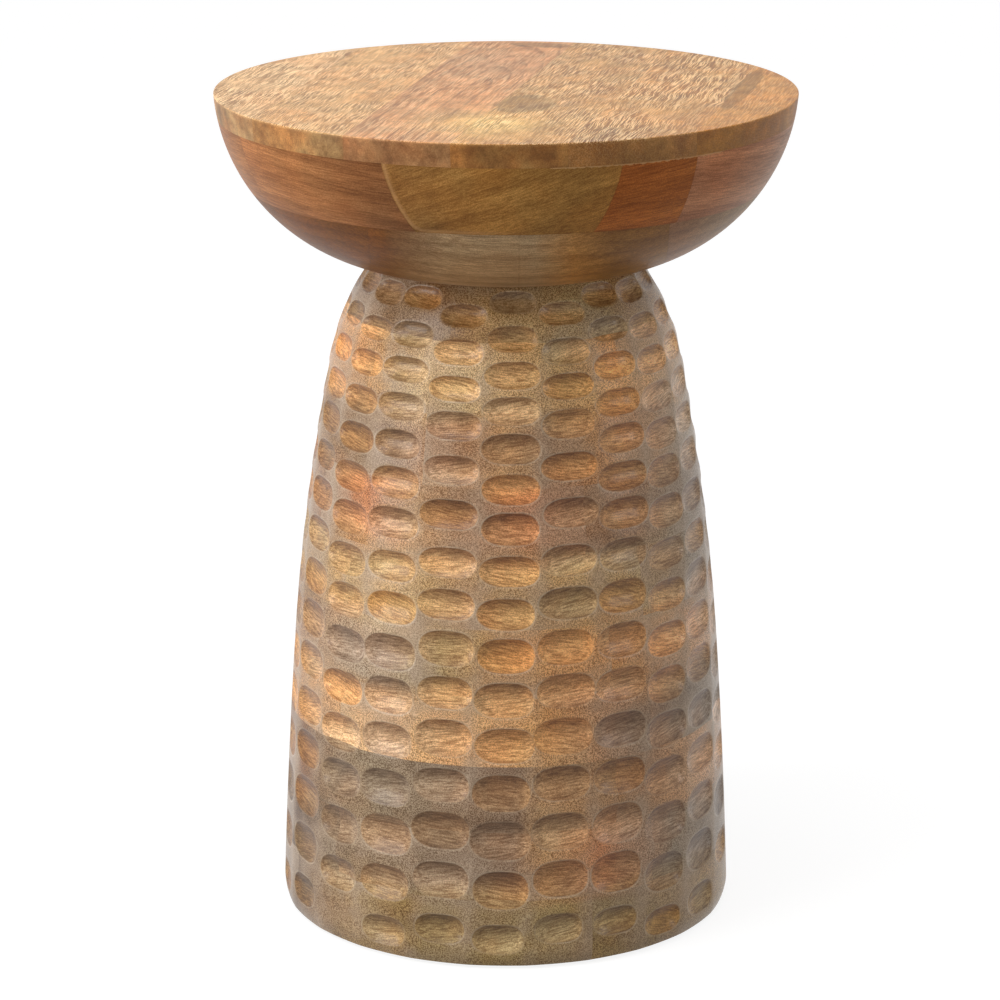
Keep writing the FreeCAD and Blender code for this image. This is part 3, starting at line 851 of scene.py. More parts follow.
# distance, in columns, from the middle of the nearest column of marks
def columnOffset(angle, height):
    sway, spread = columnDrift(height / pedestalHeight())
    even = angle - spread * np.sin(angle - spread * np.sin(angle))
    phase = (even - sway) * len(gouges["stagger"]) / (2 * np.pi)
    return phase - np.round(phase)


# tone of a course at any angle, drifting from one named tone to the next
def courseTone(course, degrees):
    angles, names = zip(*courseTones[course])
    colours = np.array([woodTones[name] for name in names])
    return np.stack([np.interp(degrees, angles, channel, period=360.0) for channel in colours.T], -1)


# stain and light wear carry a tone over a joint into the next course, except at the sharp ones
def blendedTone(course, degrees, height):
    tall = pedestal["courseHeight"]
    swing, waves, shift = pedestal["toneWave"]
    own = courseTone(course, degrees)
    for nextCourse, joint, side in ((course + 1, course + 1, -1.0), (course - 1, course, 1.0)):
        if joint in pedestal["sharpJoints"] or not 0 <= nextCourse < len(courseTones):
            continue
        reach = pedestal["toneReach"] * (1.0 + swing * np.sin(np.radians(waves * degrees) + shift * joint))
        share = 0.5 * (1.0 - ease(0.0, reach, side * (height - joint * tall)))[..., None]
        own = own * (1 - share) + courseTone(nextCourse, degrees) * share
    return own


# tone of a block: its course's tone, a little lighter or darker, drawn to fresh wood in the cuts
# and turned by their cast
def blockTone(course, seed, degrees, level, cut, cast):
    tone = blendedTone(course, degrees, level) * (1.0 + pedestal["blockShade"] * jitter(course, seed, 7))
    tone = tone + pedestal["freshness"] * cut * (np.array(woodTones["fresh"]) - tone)
    tinted = cast[..., :1] * np.array(pedestal["castTint"])
    return tone * (1.0 + tinted + cast[..., 1:] * pedestal["castShade"])


# painted shade along the upper and the lower edge of a gouge mark, less the painted highlight between them
def markShadeAndHighlight(along):
    upper, lower, paintedHighlight = pedestal["paintedMarkLight"]
    upperEdge, lowerEdge, highlightEdge = pedestal["paintedMarkLightEdges"]
    paintedMarkLight = ease(*upperEdge, along) * upper + ease(*lowerEdge, along) * lower
    return paintedMarkLight - ease(*highlightEdge, np.abs(along + pedestal["highlightDrop"])) * paintedHighlight


# grey of the land: set by the height, times a share set by the angle, whose rise to the sides paints a sheen
def landGreyAndSheen(level, degrees):
    grey = np.interp(level, np.array([0.0, 0.5, 1.0]) * pedestalHeight(), pedestal["ash"])
    aside = np.abs((degrees - pedestal["barest"] + 180.0) % 360.0 - 180.0)
    return grey * np.interp(aside, *pedestal["greyAndSheenTurn"])


# a block is the outline, flattened a little in each column, less the scoop, which is the mark's depth
# where that is above zero, rounded off by the lip; all this is carried round its sector
def carvedBlock(node, low, high, first, span, course, seed):
    crownFoot = len(pedestal["courseTurns"]) * pedestal["courseHeight"]
    bore = np.interp([low, high], [0.0, crownFoot], pedestal["bore"])
    if node.startswith("pedestal_crown"):
        bore = np.zeros(2)
    reach = outlineAt((low + high) / 2)[0]
    stations = int(math.radians(span) * reach / pedestal["stepAlong"]) + 1
    levels = int((high - low) / pedestal["stepUp"]) + 1
    turn = np.radians(np.linspace(first, first + span, stations))
    angle, height = np.meshgrid(turn, np.linspace(low, high, levels), indexing="ij")
    radius, slope = outlineAt(height)
    half = np.pi / len(gouges["stagger"])
    offset = columnOffset(angle, height)
    flat = pedestal["flatness"] * radius * (1 - math.cos(half) / np.cos(2 * half * offset))
    depth, cast, place = markDepth(angle, height)
    depth = depth * gouges["depth"]
    lip = gouges["lip"]
    scooped = 0.5 * (depth + np.sqrt(depth**2 + lip**2))
    radius = radius - flat - scooped * np.hypot(1.0, slope)
    outer = np.stack([radius * np.sin(angle), -radius * np.cos(angle), height], -1)
    inner = np.stack([
        np.stack([r * np.sin(turn), -r * np.cos(turn), np.full_like(turn, z)], -1)
        for r, z in ((bore[1], high), (bore[0], low))
    ], 1)
    loops = np.concatenate([outer, inner], 1)
    loops[..., 2] += pedestal["foot"]
    points, quads, caps = carryLoop(loops)
    mesh = fillMesh(node, points, quads, caps)
    pad = ((0, 0), (0, 2))  # the two points at the bore
    scoop = np.pad(np.clip(scooped / gouges["depth"], 0, 1), pad)
    rim = np.pad(np.exp(-((depth / (pedestal["rimWidth"] * lip)) ** 2)), pad)
    degrees = np.degrees(np.pad(angle, pad, mode="edge"))
    grain = np.stack([
        np.pad((angle - turn.mean()) * reach, pad, mode="edge"),
        np.concatenate([radius, np.repeat(bore[None, ::-1], stations, 0)], 1),
        loops[..., 2],
    ], -1) + seed * np.array(pedestal["grainShifts"])
    cut = ease(*pedestal["cutEdge"], scoop)[..., None]
    cast = np.pad(cast, (*pad, (0, 0))) * cut
    grain[..., 2] += pedestal["lean"] * cast[..., 0] * np.pad(place[..., 0], pad)
    level = loops[..., 2] - pedestal["foot"]
    tone = blockTone(course, seed, degrees, level, cut, cast)
    gap = ease(*pedestal["gapEdge"], np.abs(offset))
    numbers = {
        "scoop": scoop,
        "rim": rim,
        # painted shade and painted highlight inside the gouge marks
        "paintedMarkLight": np.pad(markShadeAndHighlight(place[..., 1]), pad),
        # grey of the land, with painted sheen to the sides and between the columns
        "ash": landGreyAndSheen(level, degrees) + pedestal["gapSheen"] * np.pad(gap, pad),
    }
    dressMesh(mesh, numbers, {"grain": grain}, tone.reshape(-1, 3))
    finishMesh(mesh, pedestal["sharpAngle"])
    placePiece(node.replace("pedestal_", "carved_"), mesh, node, carvedWood)


def makePedestal():
    tall = pedestal["courseHeight"]
    span = 360.0 / pedestal["blocks"]
    seed = 0
    for course, turn in enumerate(pedestal["courseTurns"]):
        low = course * tall
        for block in range(pedestal["blocks"]):
            node = f"pedestal_course_{course + 1}_block_{block + 1}"
            seed += 1
            carvedBlock(node, low, low + tall, turn + span * block, span, course, seed)
    crown = len(pedestal["courseTurns"])
    low = crown * tall
    for half in range(2):
        node = f"pedestal_crown_half_{half + 1}"
        turn = pedestal["crownTurn"] + 180.0 * half
        seed += 1
        carvedBlock(node, low, low + pedestal["crownHeight"], turn, 180.0, crown, seed)


makePedestal()
print("pedestal")


# bowl-shaped top

bowl = {
    "foot": 443.2,
    "height": 112.0,
    "rim": 190.5,
    "footRadius": 88.5,
    "bend": 123.0,
    "topThickness": 15.5,
    "rimHeight": 45.5,
    "bore": 126.0,
    "easedEdge": 0.7,
    "sharpAngle": 40.0,
}

topBoards = {
    "joints": (-133.0, -63.0, 7.0, 77.0, 147.0),
    "turn": 12.5,
    "tones": ("cream", "sand", "cedar", "larch", "teak", "copper"),
    "hearts": ((-260, 60), (-175, -300), (-20, -15), (60, -420), (240, 200), (150, 0)),  # across, along
    "tapers": (0.08, 0.05, 0.16, 0.05, 0.06, 0.04),
    "flecks": (0.95, 0.85, 0.55, 1.0, 1.0, 0.45),
    "curls": (1.0, 0.7, 0.3, 0.06, 0.7, 0.4),
    "figures": (0.2, 0.4, 0.75, 0.25, 0.2, 0.4),
    "rimDarkness": (0.85, 0.88, 0.86, 0.88, 0.68, 0.6),
    # places across and along, half sizes, and for patches also tone and strength
    "knots": ((24.0, -51.0, 24.0, 40.0), (-14.0, 174.0, 26.0, 12.0), (151.0, 35.0, 8.0, 95.0)),
    "patches": ((-22.0, 92.0, 42.0, 70.0, "rose", 0.35), (14.0, -122.0, 34.0, 36.0, "lemon", 0.9),
                (-150.0, -40.0, 40.0, 60.0, "cream", 0.5), (-57.0, -80.0, 5.0, 130.0, "umber", 0.2),
                (98.0, -146.0, 36.0, 30.0, "fawn", 0.6)),
    "step": 2.5,
    "flatSteps": 81,
    "depths": (0.0, 0.06, 0.15, 0.3, 0.5, 0.8, 2.0, 5.0, 9.0, 12.5),  # of the points down the rim
    "rimEdge": (1.1, 0.3),  # depths between which the rim turns into the face
    "grainStart": 313.0,
    "backTaper": 0.1,  # taper of the rings behind their heart, as a share
}

rimBlocks = {
    "joints": ((-63.5, 0.0), (-24.5, -34.0), (22.6, 28.0), (39.0, 0.0), (97.0, 0.0), (162.0, 0.0),
               (230.0, 0.0)),  # angle, skew
    # the second block is darker at its left end: painted shade that offsets the stronger light there
    "tones": (("sienna", "sienna", "cocoa"), ("fawn", "bronze", "bronze"), ("brick", "brick"),
              ("rust", "rose"), ("brown", "cocoa"), ("sienna", "brown"),
              ("brown", "sienna")),  # from the left end to the right
    "glue": (4.0, 50.0),  # angles between which the joint under the top boards is chipped
    "glueFade": 0.1,  # radians
    "glueDepth": 3.0,
    "highlightedBlock": 1,  # block whose left and lower edge carry a painted highlight
    "highlightEdges": ((-0.4, 0.7), (4.2, 1.0), (80.0, 25.0)),  # where it rises and falls off the edge, and ends
    "corner": 8.0,
    "slant": 1.25,
    "run": (3.0, -24.0, -8.0, 4.0, 0.0, 3.0, -3.0),  # degrees by which the grain climbs
    "grainStart": 271.0,
    "heart": (14.0, 12.0),  # how far the middle of the rings lies below and to the left
    "ringTapers": (0.22, 0.3),  # along and inwards
    "step": 1.6,
    "profileSteps": 34,
}

baseBoards = {
    "joints": (-86.0, 8.0, 102.0),
    # darker towards the left, a painted shade, and paler about the middle, a painted sheen
    "tones": (("loam", "loam"), ("loam", "hazel", "hazel"), ("hazel", "teak", "fawn", "fawn"),
              ("brown", "khaki")),
    "grainStarts": (157.0, 314.0, 314.0, 628.0),  # the middle boards were cut from one plank
    "heart": 400.0,  # height of the middle of the rings
    "ringTapers": (0.2, 0.3),  # across and along
    "seamRoom": 0.01,  # points this near a joint lie on it
    "step": 2.0,
    "flatSteps": 161,
}

bowlTop = bowl["foot"] + bowl["height"]
bowlCentre = arcCentre((bowl["footRadius"], 0.0), (bowl["rim"], bowl["height"]), bowl["bend"])


# radius of the bowl's side at a depth under the top: one arc, with the rim's edge eased
def bowlRadius(depth):
    rise = bowl["height"] - depth - bowlCentre[1]
    radius = bowlCentre[0] + np.sqrt(bowl["bend"] ** 2 - rise**2)
    edge = bowl["easedEdge"]
    inside = np.clip(1.0 - depth / edge, 0.0, 1.0)
    return radius - edge * (1.0 - np.sqrt(1.0 - inside**2))


# height of the bowl's underside at a distance from the axis: flat foot, then the arc
def bowlUnder(radius):
    reach = np.clip(radius - bowlCentre[0], 0.0, bowl["bend"])
    rise = bowlCentre[1] - np.sqrt(bowl["bend"] ** 2 - reach**2)
    return np.where(radius <= bowl["footRadius"], 0.0, np.maximum(rise, 0.0))


# places across a board: even in angle round the rim, so that the round edge stays smooth
def acrossSteps(low, high, rim, step):
    start, end = np.arcsin(np.clip([low / rim, high / rim], -1.0, 1.0))
    count = int(abs(end - start) * rim / step) + 4
    return (np.sin(np.linspace(start, end, count)) * rim - low) / (high - low)


# places along a board from -1 to 1, closer together towards its ends: the sine of even steps
def alongSteps(count):
    return np.sin(np.linspace(-1, 1, count) * np.pi / 2)


# a soft round spot on the top: the bell curve of the distance from its middle, in half sizes
def softSpot(plan, across, along, wide, long):
    return np.exp(-(((plan[:, 0] - across) / wide) ** 2 + ((plan[:, 1] - along) / long) ** 2))


# tone of a top board, with the patches that reach it
def patchedTone(name, plan, onTop):
    tone = np.repeat([woodTones[name]], len(plan), 0)
    for *spot, patch, strength in topBoards["patches"]:
        share = strength * (softSpot(plan, *spot) * onTop)[:, None]
        tone = tone * (1 - share) + np.array(woodTones[patch]) * share
    return tone


# a top board: for each line across, a loop that runs over the top, down the rounded rim, back under
# and up again; lines reach as far as the circle of their own depth
def makeTopBoards():
    edges = (-bowl["rim"], *topBoards["joints"], bowl["rim"])
    depths = np.array([*topBoards["depths"], bowl["topThickness"]])
    rims = bowlRadius(depths)
    turn = math.radians(topBoards["turn"])
    steps = topBoards["flatSteps"]
    flat = alongSteps(steps)
    for index, (low, high) in enumerate(zip(edges, edges[1:])):
        share = acrossSteps(low, high, bowl["rim"], topBoards["step"])[:, None]
        count = len(share)
        lows = np.maximum(low, -rims) if index == 0 else np.full_like(rims, low)
        highs = np.minimum(high, rims) if index == len(edges) - 2 else np.full_like(rims, high)
        across = lows + (highs - lows) * share
        reach = np.sqrt(np.maximum(rims**2 - across**2, 0.0))
        over = np.stack([np.repeat(across[:, :1], steps, 1), reach[:, :1] * flat,
                         np.zeros((count, steps))], -1)
        down = np.stack([across, reach, np.repeat(-depths[None], count, 0)], -1)[:, 1:-1]
        under = np.stack([np.repeat(across[:, -1:], steps, 1), -reach[:, -1:] * flat,
                          np.full((count, steps), -depths[-1])], -1)
        up = down[:, ::-1] * np.array([1.0, -1.0, 1.0])
        plan = np.concatenate([over, down, under, up], 1)
        loops = np.stack([
            plan[..., 0] * math.cos(turn) + plan[..., 1] * math.sin(turn),
            plan[..., 1] * math.cos(turn) - plan[..., 0] * math.sin(turn),
            plan[..., 2] + bowlTop,
        ], -1)
        points, quads, caps = carryLoop(loops[:, ::-1], index > 0, index < len(edges) - 2)
        plan = plan[:, ::-1].reshape(-1, 3)
        node = f"top_board_{index + 1}"
        mesh = fillMesh(node, points, quads, caps)
        heart, far = topBoards["hearts"][index]
        taper = topBoards["tapers"][index]
        grain = plan[:, [1, 0, 2]] + topBoards["grainStart"] * (index + 1)
        ahead = plan[:, 1] - far
        slow = ahead * np.where(ahead > 0.0, taper, topBoards["backTaper"] * taper)
        rings = np.stack([plan[:, 0] - heart, slow, plan[:, 2]], -1)
        onTop = ease(*topBoards["rimEdge"], -plan[:, 2])
        knot = np.zeros(len(plan))
        for spot in topBoards["knots"]:
            knot = np.maximum(knot, softSpot(plan, *spot))
        tone = patchedTone(topBoards["tones"][index], plan, onTop)
        numbers = {"knot": knot, "endGrain": topBoards["rimDarkness"][index] * (1.0 - onTop)}
        for label, values in (("fleck", "flecks"), ("curl", "curls"), ("figure", "figures")):
            numbers[label] = np.full(len(plan), topBoards[values][index])
        dressMesh(mesh, numbers, {"grain": grain, "rings": rings}, tone)
        finishMesh(mesh, bowl["sharpAngle"])
        placePiece(f"table_{node}", mesh, node, topWood)


# angle at which a rim joint crosses a radius: a straight line, skewed from the radius where it meets the rim
def jointAngle(degrees, skew, radius):
    turn, lean = math.radians(degrees), math.radians(skew)
    offAxis = bowl["rim"] * math.sin(lean)
    return turn + lean - np.arcsin(np.clip(offAxis / radius, -1.0, 1.0))


# tones that turn into one another from one end of a piece to the other, each end tone holding for a tenth
def blendTones(names, share):
    stops = np.linspace(0.1, 0.9, len(names))
    channels = np.transpose([woodTones[name] for name in names])
    return np.stack([np.interp(share, stops, channel) for channel in channels], -1)


# painted highlight along a block's left and lower edge, which meet in a round corner
def edgeHighlight(left, low):
    corner = rimBlocks["corner"]
    edge = np.where((left < corner) & (low < corner), corner - np.hypot(corner - left, corner - low),
                    np.minimum(left, low))
    riseEdge, fallEdge, endEdge = rimBlocks["highlightEdges"]
    return ease(*riseEdge, edge) * ease(*fallEdge, edge) * ease(*endEdge, left)


# a rim block: the bowl's arc below the top boards, carried from one joint to the next
def makeRimBlocks():
    joints = rimBlocks["joints"]
    top = bowl["topThickness"]
    depth = np.linspace(top + bowl["rimHeight"], top, rimBlocks["profileSteps"])
    profile = np.concatenate([bowlRadius(depth), [bowl["bore"]] * 2])
    heights = bowlTop - np.concatenate([depth, depth[[-1, 0]]])
    rise, fall = heights - heights.min(), heights.max() - heights
    for index, (degrees, skew) in enumerate(joints):
        after, afterSkew = joints[(index + 1) % len(joints)]
        after = degrees + (after - degrees) % 360.0
        first, last = jointAngle(degrees, skew, profile), jointAngle(after, afterSkew, profile)
        stations = int(math.radians(after - degrees) * bowl["rim"] / rimBlocks["step"]) + 2
        angle = first + (last - first) * np.linspace(0, 1, stations)[:, None]
        level = np.broadcast_to(heights, angle.shape)
        loops = np.stack([profile * np.sin(angle), -profile * np.cos(angle), level], -1)
        points, quads, caps = carryLoop(loops)
        node = f"rim_block_{index + 1}"
        mesh = fillMesh(node, points, quads, caps)
        along = (angle - (first + last).mean() / 2) * profile
        run = math.radians(rimBlocks["run"][index])
        grain = np.stack([
            along * math.cos(run) - rise * math.sin(run),
            np.broadcast_to(profile, angle.shape),
            rise * math.cos(run) + along * math.sin(run),
        ], -1)
        below, beside = rimBlocks["heart"]
        alongTaper, inTaper = rimBlocks["ringTapers"]
        rings = np.stack([grain[..., 2] + below, along * alongTaper + beside, grain[..., 1] * inTaper], -1)
        sides = np.minimum(angle - first, last - angle) * profile
        start, end = np.radians(rimBlocks["glue"])
        fade = rimBlocks["glueFade"]
        chipped = ease(start, start + fade, angle) * (1.0 - ease(end - fade, end, angle))
        bevel = edgeHighlight((angle - first) * profile, rise * rimBlocks["slant"])
        numbers = {
            "seam": np.minimum(sides, np.minimum(rise, fall)) * mm,
            "glue": chipped * ease(rimBlocks["glueDepth"], 0.0, fall),
            # painted highlight, on one block only
            "bevel": bevel * (index == rimBlocks["highlightedBlock"]),
        }
        places = {"grain": grain + rimBlocks["grainStart"] * (index + 1), "rings": rings}
        tone = blendTones(rimBlocks["tones"][index], ((angle - first) / (last - first)).ravel())
        dressMesh(mesh, numbers, places, tone)
        finishMesh(mesh, bowl["sharpAngle"])
        placePiece(f"bowl_{node}", mesh, node, turnedWood)


# a base board: for each line across, a loop along the bowl's underside and back along its flat top
def makeBaseBoards():
    rim = float(bowlRadius(np.array(bowl["topThickness"] + bowl["rimHeight"])))
    edges = (-rim, *baseBoards["joints"], rim)
    tall = bowl["height"] - bowl["topThickness"] - bowl["rimHeight"]
    flat = alongSteps(baseBoards["flatSteps"])
    acrossTaper, alongTaper = baseBoards["ringTapers"]
    for index, (low, high) in enumerate(zip(edges, edges[1:])):
        share = acrossSteps(low, high, rim, baseBoards["step"])[:, None]
        across = low + (high - low) * share
        reach = np.sqrt(np.maximum(rim**2 - across**2, 0.0))
        along = reach * flat
        wide = np.repeat(across, len(flat), 1)
        under = np.stack([wide, along, bowlUnder(np.hypot(wide, along))], -1)
        over = np.stack([wide, -along, np.full_like(along, tall)], -1)
        loops = np.concatenate([under, over[:, 1:-1]], 1)
        loops[..., 2] += bowl["foot"]
        points, quads, caps = carryLoop(loops, index > 0, index < len(edges) - 2)
        node = f"bowl_base_board_{index + 1}"
        mesh = fillMesh(node, points, quads, caps)
        seam = np.minimum(points[:, 0] - low, high - points[:, 0])
        rings = np.stack([points[:, 2] - baseBoards["heart"], points[:, 0] * acrossTaper,
                          points[:, 1] * alongTaper], -1)
        seam = np.where(seam < baseBoards["seamRoom"], 0.0, seam)
        none = np.zeros(len(points))
        numbers = {"seam": seam * mm, "glue": none, "bevel": none}
        places = {"grain": points + baseBoards["grainStarts"][index], "rings": rings}
        tone = blendTones(baseBoards["tones"][index], (points[:, 0] - low) / (high - low))
        dressMesh(mesh, numbers, places, tone)
        finishMesh(mesh, bowl["sharpAngle"])
        placePiece(node.replace("bowl_base", "turned_base"), mesh, node, turnedWood)


makeTopBoards()
makeRimBlocks()
makeBaseBoards()
print("bowl")


# fixings inside and pads underneath

screws = {
    "circle": 42.0,
    "first": 45.0,
    "count": 4,
    "head": (9.6, 3.4),  # diameter, height
    "core": 3.7,
    "thread": 5.0,
    "pitch": 2.2,
    "plain": 14.0,
    "length": 58.0,
    "tip": 7.0,
    "cross": (4.6, 1.1, 1.9),  # span, slot width and depth of the recess
    "crossEdges": (0.15, 0.2, 0.5),  # softness of a slot's side, and of its end outside and inside
    "dome": (0.25, 3.2),  # share of the head that is upright, power of its curve
    "ridge": 0.3,  # half width of a thread, in pitches
    "runIn": 3.0,  # length in which the thread starts
    "turnSteps": 72,
    "headSteps": 44,
    "bodySteps": 210,
    "sharpAngle": 35.0,
}

washers = {
    "diameter": 18.0,
    "hole": 5.3,
    "thickness": 1.5,
    "round": 0.35,
    "turnSteps": 72,
    "cornerSteps": 5,
    "sharpAngle": 40.0,
}

dowels = {
    "circle": 42.0,
    "count": 2,
    "diameter": 12.0,
    "length": 40.0,
    "bevel": 1.4,
    "bevelRise": (0.0, 0.0, 0.35, 1.0),  # points of an end from its middle outwards, in bevels
    "bevelInset": (0.75, 0.45, 0.0),  # the same without the middle
    "bodyStart": 1.4,  # in bevels
    "flutes": 16,
    "fluteDepth": 0.45,
    "flutePower": 3,
    "turnSteps": 192,
    "bodySteps": 9,
    "sharpAngle": 50.0,
}

pads = {
    "circle": 128.8,
    "count": 4,
    "diameter": 28.0,
    "thickness": 2.5,
    "edge": 0.9,
    "crown": 0.12,
    "ragged": 0.16,
    "turnSteps": 120,
    "edgeSteps": 17,
    "flatSteps": 13,
    "sharpAngle": 60.0,
}


def roundSpots(circle, count, first):
    turns = np.radians(first + 360.0 * np.arange(count) / count)
    return np.stack([circle * np.cos(turns), circle * np.sin(turns), np.zeros(count)], -1)


def turnSteps(count):
    return np.linspace(0.0, 2 * np.pi, count, endpoint=False)


def crownUnder():
    return pedestal["foot"] + pedestalHeight() - pedestal["crownHeight"]


# a shape turned about an upright axis: radius and height on a grid of profile points by angles,
# set at each spot
def turnedShapes(name, radius, height, spots, closed=False):
    steps, count = radius.shape
    turn = turnSteps(count)
    shape = np.stack([radius * np.cos(turn), radius * np.sin(turn), height], -1)
    index = np.arange(steps * count).reshape(steps, count)
    here, above = (index, np.roll(index, -1, 0)) if closed else (index[:-1], index[1:])
    quads = np.stack([here, np.roll(here, -1, 1), np.roll(above, -1, 1), above], -1).reshape(-1, 4)
    points = (spots[:, None, :] + shape.reshape(1, -1, 3)).reshape(-1, 3)
    quads = (quads + (np.arange(len(spots)) * index.size)[:, None, None]).reshape(-1, 4)
    return fillMesh(name, points, quads, [])


def screwSpots():
    return roundSpots(screws["circle"], screws["count"], screws["first"])


# a screw from its head up: a domed head, less a cross where either arm is near, then a plain neck,
# then a core with a ridge wherever the height in pitches less the turn is near one half
def makeScrews():
    seat = crownUnder() - washers["thickness"]
    headRadius, headTall = screws["head"][0] / 2, screws["head"][1]
    count = screws["turnSteps"]
    turn = turnSteps(count)
    across = np.linspace(0.0, 1.0, screws["headSteps"])[:, None] * headRadius
    upright, power = screws["dome"]
    curve = np.sqrt(np.maximum(1.0 - (across / headRadius) ** power, 0.0))
    dome = headTall * (upright + (1.0 - upright) * curve)
    span, wide, deep = screws["cross"]
    side, outside, inside = screws["crossEdges"]
    x, y = across * np.cos(turn), across * np.sin(turn)
    arm = np.minimum(np.abs(x), np.abs(y))
    cut = ease(wide / 2 + side, wide / 2 - side, arm)
    cut = cut * ease(span / 2 + outside, span / 2 - inside, np.hypot(x, y))
    headHeight = seat - dome + deep * cut
    neck = np.linspace(0.0, screws["length"], screws["bodySteps"])[:, None]
    ramp = (neck / screws["pitch"] - turn / (2 * np.pi)) % 1.0
    ridge = np.maximum(1.0 - np.abs(ramp - 0.5) / screws["ridge"], 0.0)
    fade = ease(screws["plain"], screws["plain"] + screws["runIn"], neck)
    shrink = np.clip((screws["length"] - neck) / screws["tip"], 0.0, 1.0)
    core, thread = screws["core"] / 2, (screws["thread"] - screws["core"]) / 2
    body = core * shrink + thread * shrink * (1 - fade + fade * ridge)
    radius = np.concatenate([np.repeat(across, count, 1), np.full((1, count), headRadius), body])
    height = np.concatenate([headHeight, np.full((1, count), seat), np.repeat(seat + neck, count, 1)])
    mesh = turnedShapes("fixingScrews", radius, height, screwSpots())
    finishMesh(mesh, screws["sharpAngle"])
    placePiece("fixing_screws", mesh, "top_fixing_screws", zincSteel)


# a washer: a ring with rounded edges
def makeWashers():
    bend = np.linspace(0.0, np.pi / 2, washers["cornerSteps"])
    corner = washers["round"] * (1.0 - np.cos(bend))
    lift = washers["round"] * (1.0 - np.sin(bend))
    inner, outer, tall = washers["hole"] / 2, washers["diameter"] / 2, washers["thickness"]
    ring = np.concatenate([outer - corner[::-1], outer - corner, inner + corner[::-1], inner + corner])
    rise = np.concatenate([lift[::-1], tall - lift, tall - lift[::-1], lift])
    radius = np.repeat(ring[:, None], washers["turnSteps"], 1)
    height = np.repeat((crownUnder() - tall + rise)[:, None], washers["turnSteps"], 1)
    mesh = turnedShapes("ringWashers", radius, height, screwSpots(), closed=True)
    finishMesh(mesh, washers["sharpAngle"])
    placePiece("ring_washers", mesh, "screw_washers", zincSteel)


# a dowel: a rod with bevelled ends and shallow round flutes that let the glue out
def makeDowels():
    foot = bowl["foot"] - dowels["length"] / 2
    half, bevel, tall = dowels["diameter"] / 2, dowels["bevel"], dowels["length"]
    turn = turnSteps(dowels["turnSteps"])
    flute = dowels["fluteDepth"] * np.abs(np.cos(turn * dowels["flutes"] / 2)) ** dowels["flutePower"]
    rise = bevel * np.array(dowels["bevelRise"])
    inset = np.array([half, *(bevel * np.array(dowels["bevelInset"]))])
    body = np.linspace(dowels["bodyStart"] * bevel, tall - dowels["bodyStart"] * bevel, dowels["bodySteps"])
    level = np.concatenate([rise, body, tall - rise[::-1]])
    rod = half - np.concatenate([inset, np.zeros(len(body)), inset[::-1]])
    radius = rod[:, None] - flute * (rod[:, None] > half - 0.5 * bevel)
    height = np.repeat((foot + level)[:, None], len(turn), 1)
    spots = roundSpots(dowels["circle"], dowels["count"], 0.0)
    mesh = turnedShapes("centringDowels", radius, height, spots)
    finishMesh(mesh, dowels["sharpAngle"])
    placePiece("centring_dowels", mesh, "locating_dowels", dowelWood)


# a felt pad: a flat disc with a soft rounded edge, a little fuller at its middle, and uneven all round
# by the product of two waves
def makePads():
    half, tall, edge = pads["diameter"] / 2, pads["thickness"], pads["edge"]
    turn = turnSteps(pads["turnSteps"])
    bend = np.linspace(-np.pi / 2, np.pi / 2, pads["edgeSteps"])
    steps = pads["flatSteps"]
    flat = np.linspace(0.0, 1.0, steps, endpoint=False) * (half - edge)
    ring = np.concatenate([flat, half - edge + edge * np.cos(bend), flat[::-1]])
    side = np.concatenate([np.zeros(steps), tall * (0.5 + 0.5 * np.sin(bend)), np.full(steps, tall)])
    ragged = 0.5 + 0.5 * np.sin(23.0 * turn) * np.sin(7.0 * turn + 1.0)
    near = ease(half - 2.0 * edge, half, ring)[:, None]
    radius = ring[:, None] - pads["ragged"] * ragged * near
    lift = pads["crown"] * (side < tall / 2)
    press = lift * (1.0 - (ring / half) ** 2)
    height = np.repeat((side + lift - press)[:, None], len(turn), 1)
    mesh = turnedShapes("feltPads", radius, height, roundSpots(pads["circle"], pads["count"], 0.0))
    finishMesh(mesh, pads["sharpAngle"])
    piece = placePiece("foot_pads", mesh, "felt_pads", feltCloth)


makeScrews()
makeWashers()
makeDowels()
makePads()
print("fixings")


# studio

studio = {
    "worldLight": 0.36,
    "aim": (0.0, 0.0, 0.4),
    "floorSize": 9.0,
    "floorTone": 0.22,
    "floorRoughness": 0.9,
    "floorGlow": 0.86,
    "white": (1.0, 1.0, 1.0, 1.0),
    "panels": {  # place, width, height, power
        "keyPanel": ((-1.35, -0.95, 1.65), 1.0, 1.1, 18.0),
        "leftPanel": ((-1.62, -0.66, 0.5), 0.7, 0.9, 10.5),
        "rightPanel": ((1.7, -0.65, 0.55), 0.35, 0.9, 3.5),
        "topPanel": ((-0.2, -0.25, 2.5), 1.0, 1.0, 14.0),
    },
}

lens = {
    "distance": 2.601,
    "height": 1.0175,
    "sideways": -0.0039,
    "pitch": 15.9,
    "focal": 145.15,
    "sensor": 36.0,
}


def aimAt(thing, place, target):
    thing.location = place
    back = np.array(place) - np.array(target)
    flat = math.hypot(back[0], back[1])
    thing.rotation_euler = (math.atan2(flat, back[2]), 0.0, math.atan2(back[0], -back[1]))


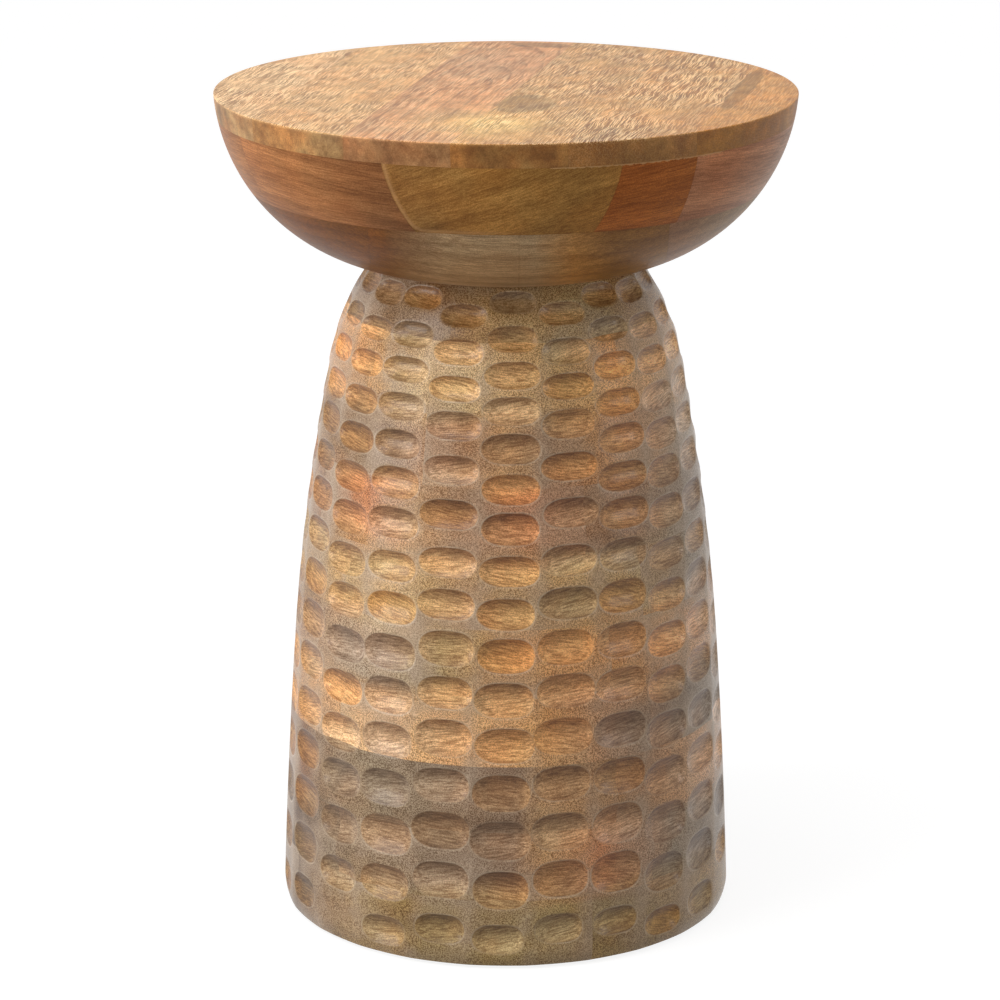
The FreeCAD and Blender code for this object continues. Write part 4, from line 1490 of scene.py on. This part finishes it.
def addPanel(name, place, width, height, power):
    lamp = bpy.data.lights.new(name, "AREA")
    lamp.shape = "RECTANGLE"
    lamp.size = width
    lamp.size_y = height
    lamp.energy = power
    aimAt(linkObject(name, lamp), place, studio["aim"])


# white to the eye, in gloss and through glass, and dimmer as light on the object
def makeWorld():
    world = bpy.data.worlds.new("studioWorld")
    bpy.context.scene.world = world
    world.use_nodes = True
    tree = world.node_tree
    ray = tree.nodes.new("ShaderNodeLightPath")
    seen = mathNode(tree, "MAXIMUM", ray.outputs["Is Camera Ray"], ray.outputs["Is Glossy Ray"])
    seen = mathNode(tree, "MAXIMUM", seen, ray.outputs["Is Transmission Ray"])
    strength = rangeNode(tree, seen, 0.0, 1.0, studio["worldLight"], 1.0, smooth=False)
    feed(tree, tree.nodes["Background"], {"Color": studio["white"], "Strength": strength})


# a pale sheet that keeps the contact shadow and is lifted to white for the eye alone
def makeFloor():
    half = studio["floorSize"] / 2
    corners = [(-half, -half, 0.0), (half, -half, 0.0), (half, half, 0.0), (-half, half, 0.0)]
    mesh = bpy.data.meshes.new("studioFloor")
    mesh.from_pydata(corners, [], [(0, 1, 2, 3)])
    material, tree, shader = newMaterial("floorSheet")
    ray = tree.nodes.new("ShaderNodeLightPath")
    seen = mathNode(tree, "MAXIMUM", ray.outputs["Is Camera Ray"], ray.outputs["Is Glossy Ray"])
    feed(tree, shader, {
        "Base Color": opaque((studio["floorTone"],) * 3),
        "Roughness": studio["floorRoughness"],
        "Emission Color": studio["white"],
        "Emission Strength": times(tree, seen, studio["floorGlow"]),
    })
    mesh.materials.append(material)
    floor = linkObject("studioFloor", mesh)


def makeCamera():
    camera = bpy.data.cameras.new("photoCamera")
    camera.sensor_width = lens["sensor"]
    camera.lens = lens["focal"]
    holder = linkObject("photoCamera", camera)
    holder.location = (lens["sideways"], -lens["distance"], lens["height"])
    holder.rotation_euler = (math.radians(90.0 - lens["pitch"]), 0.0, 0.0)
    bpy.context.scene.camera = holder


bpy.context.scene.view_settings.view_transform = "Standard"
makeWorld()
makeFloor()
for panel, settings in studio["panels"].items():
    addPanel(panel, *settings)
makeCamera()
print("studio")
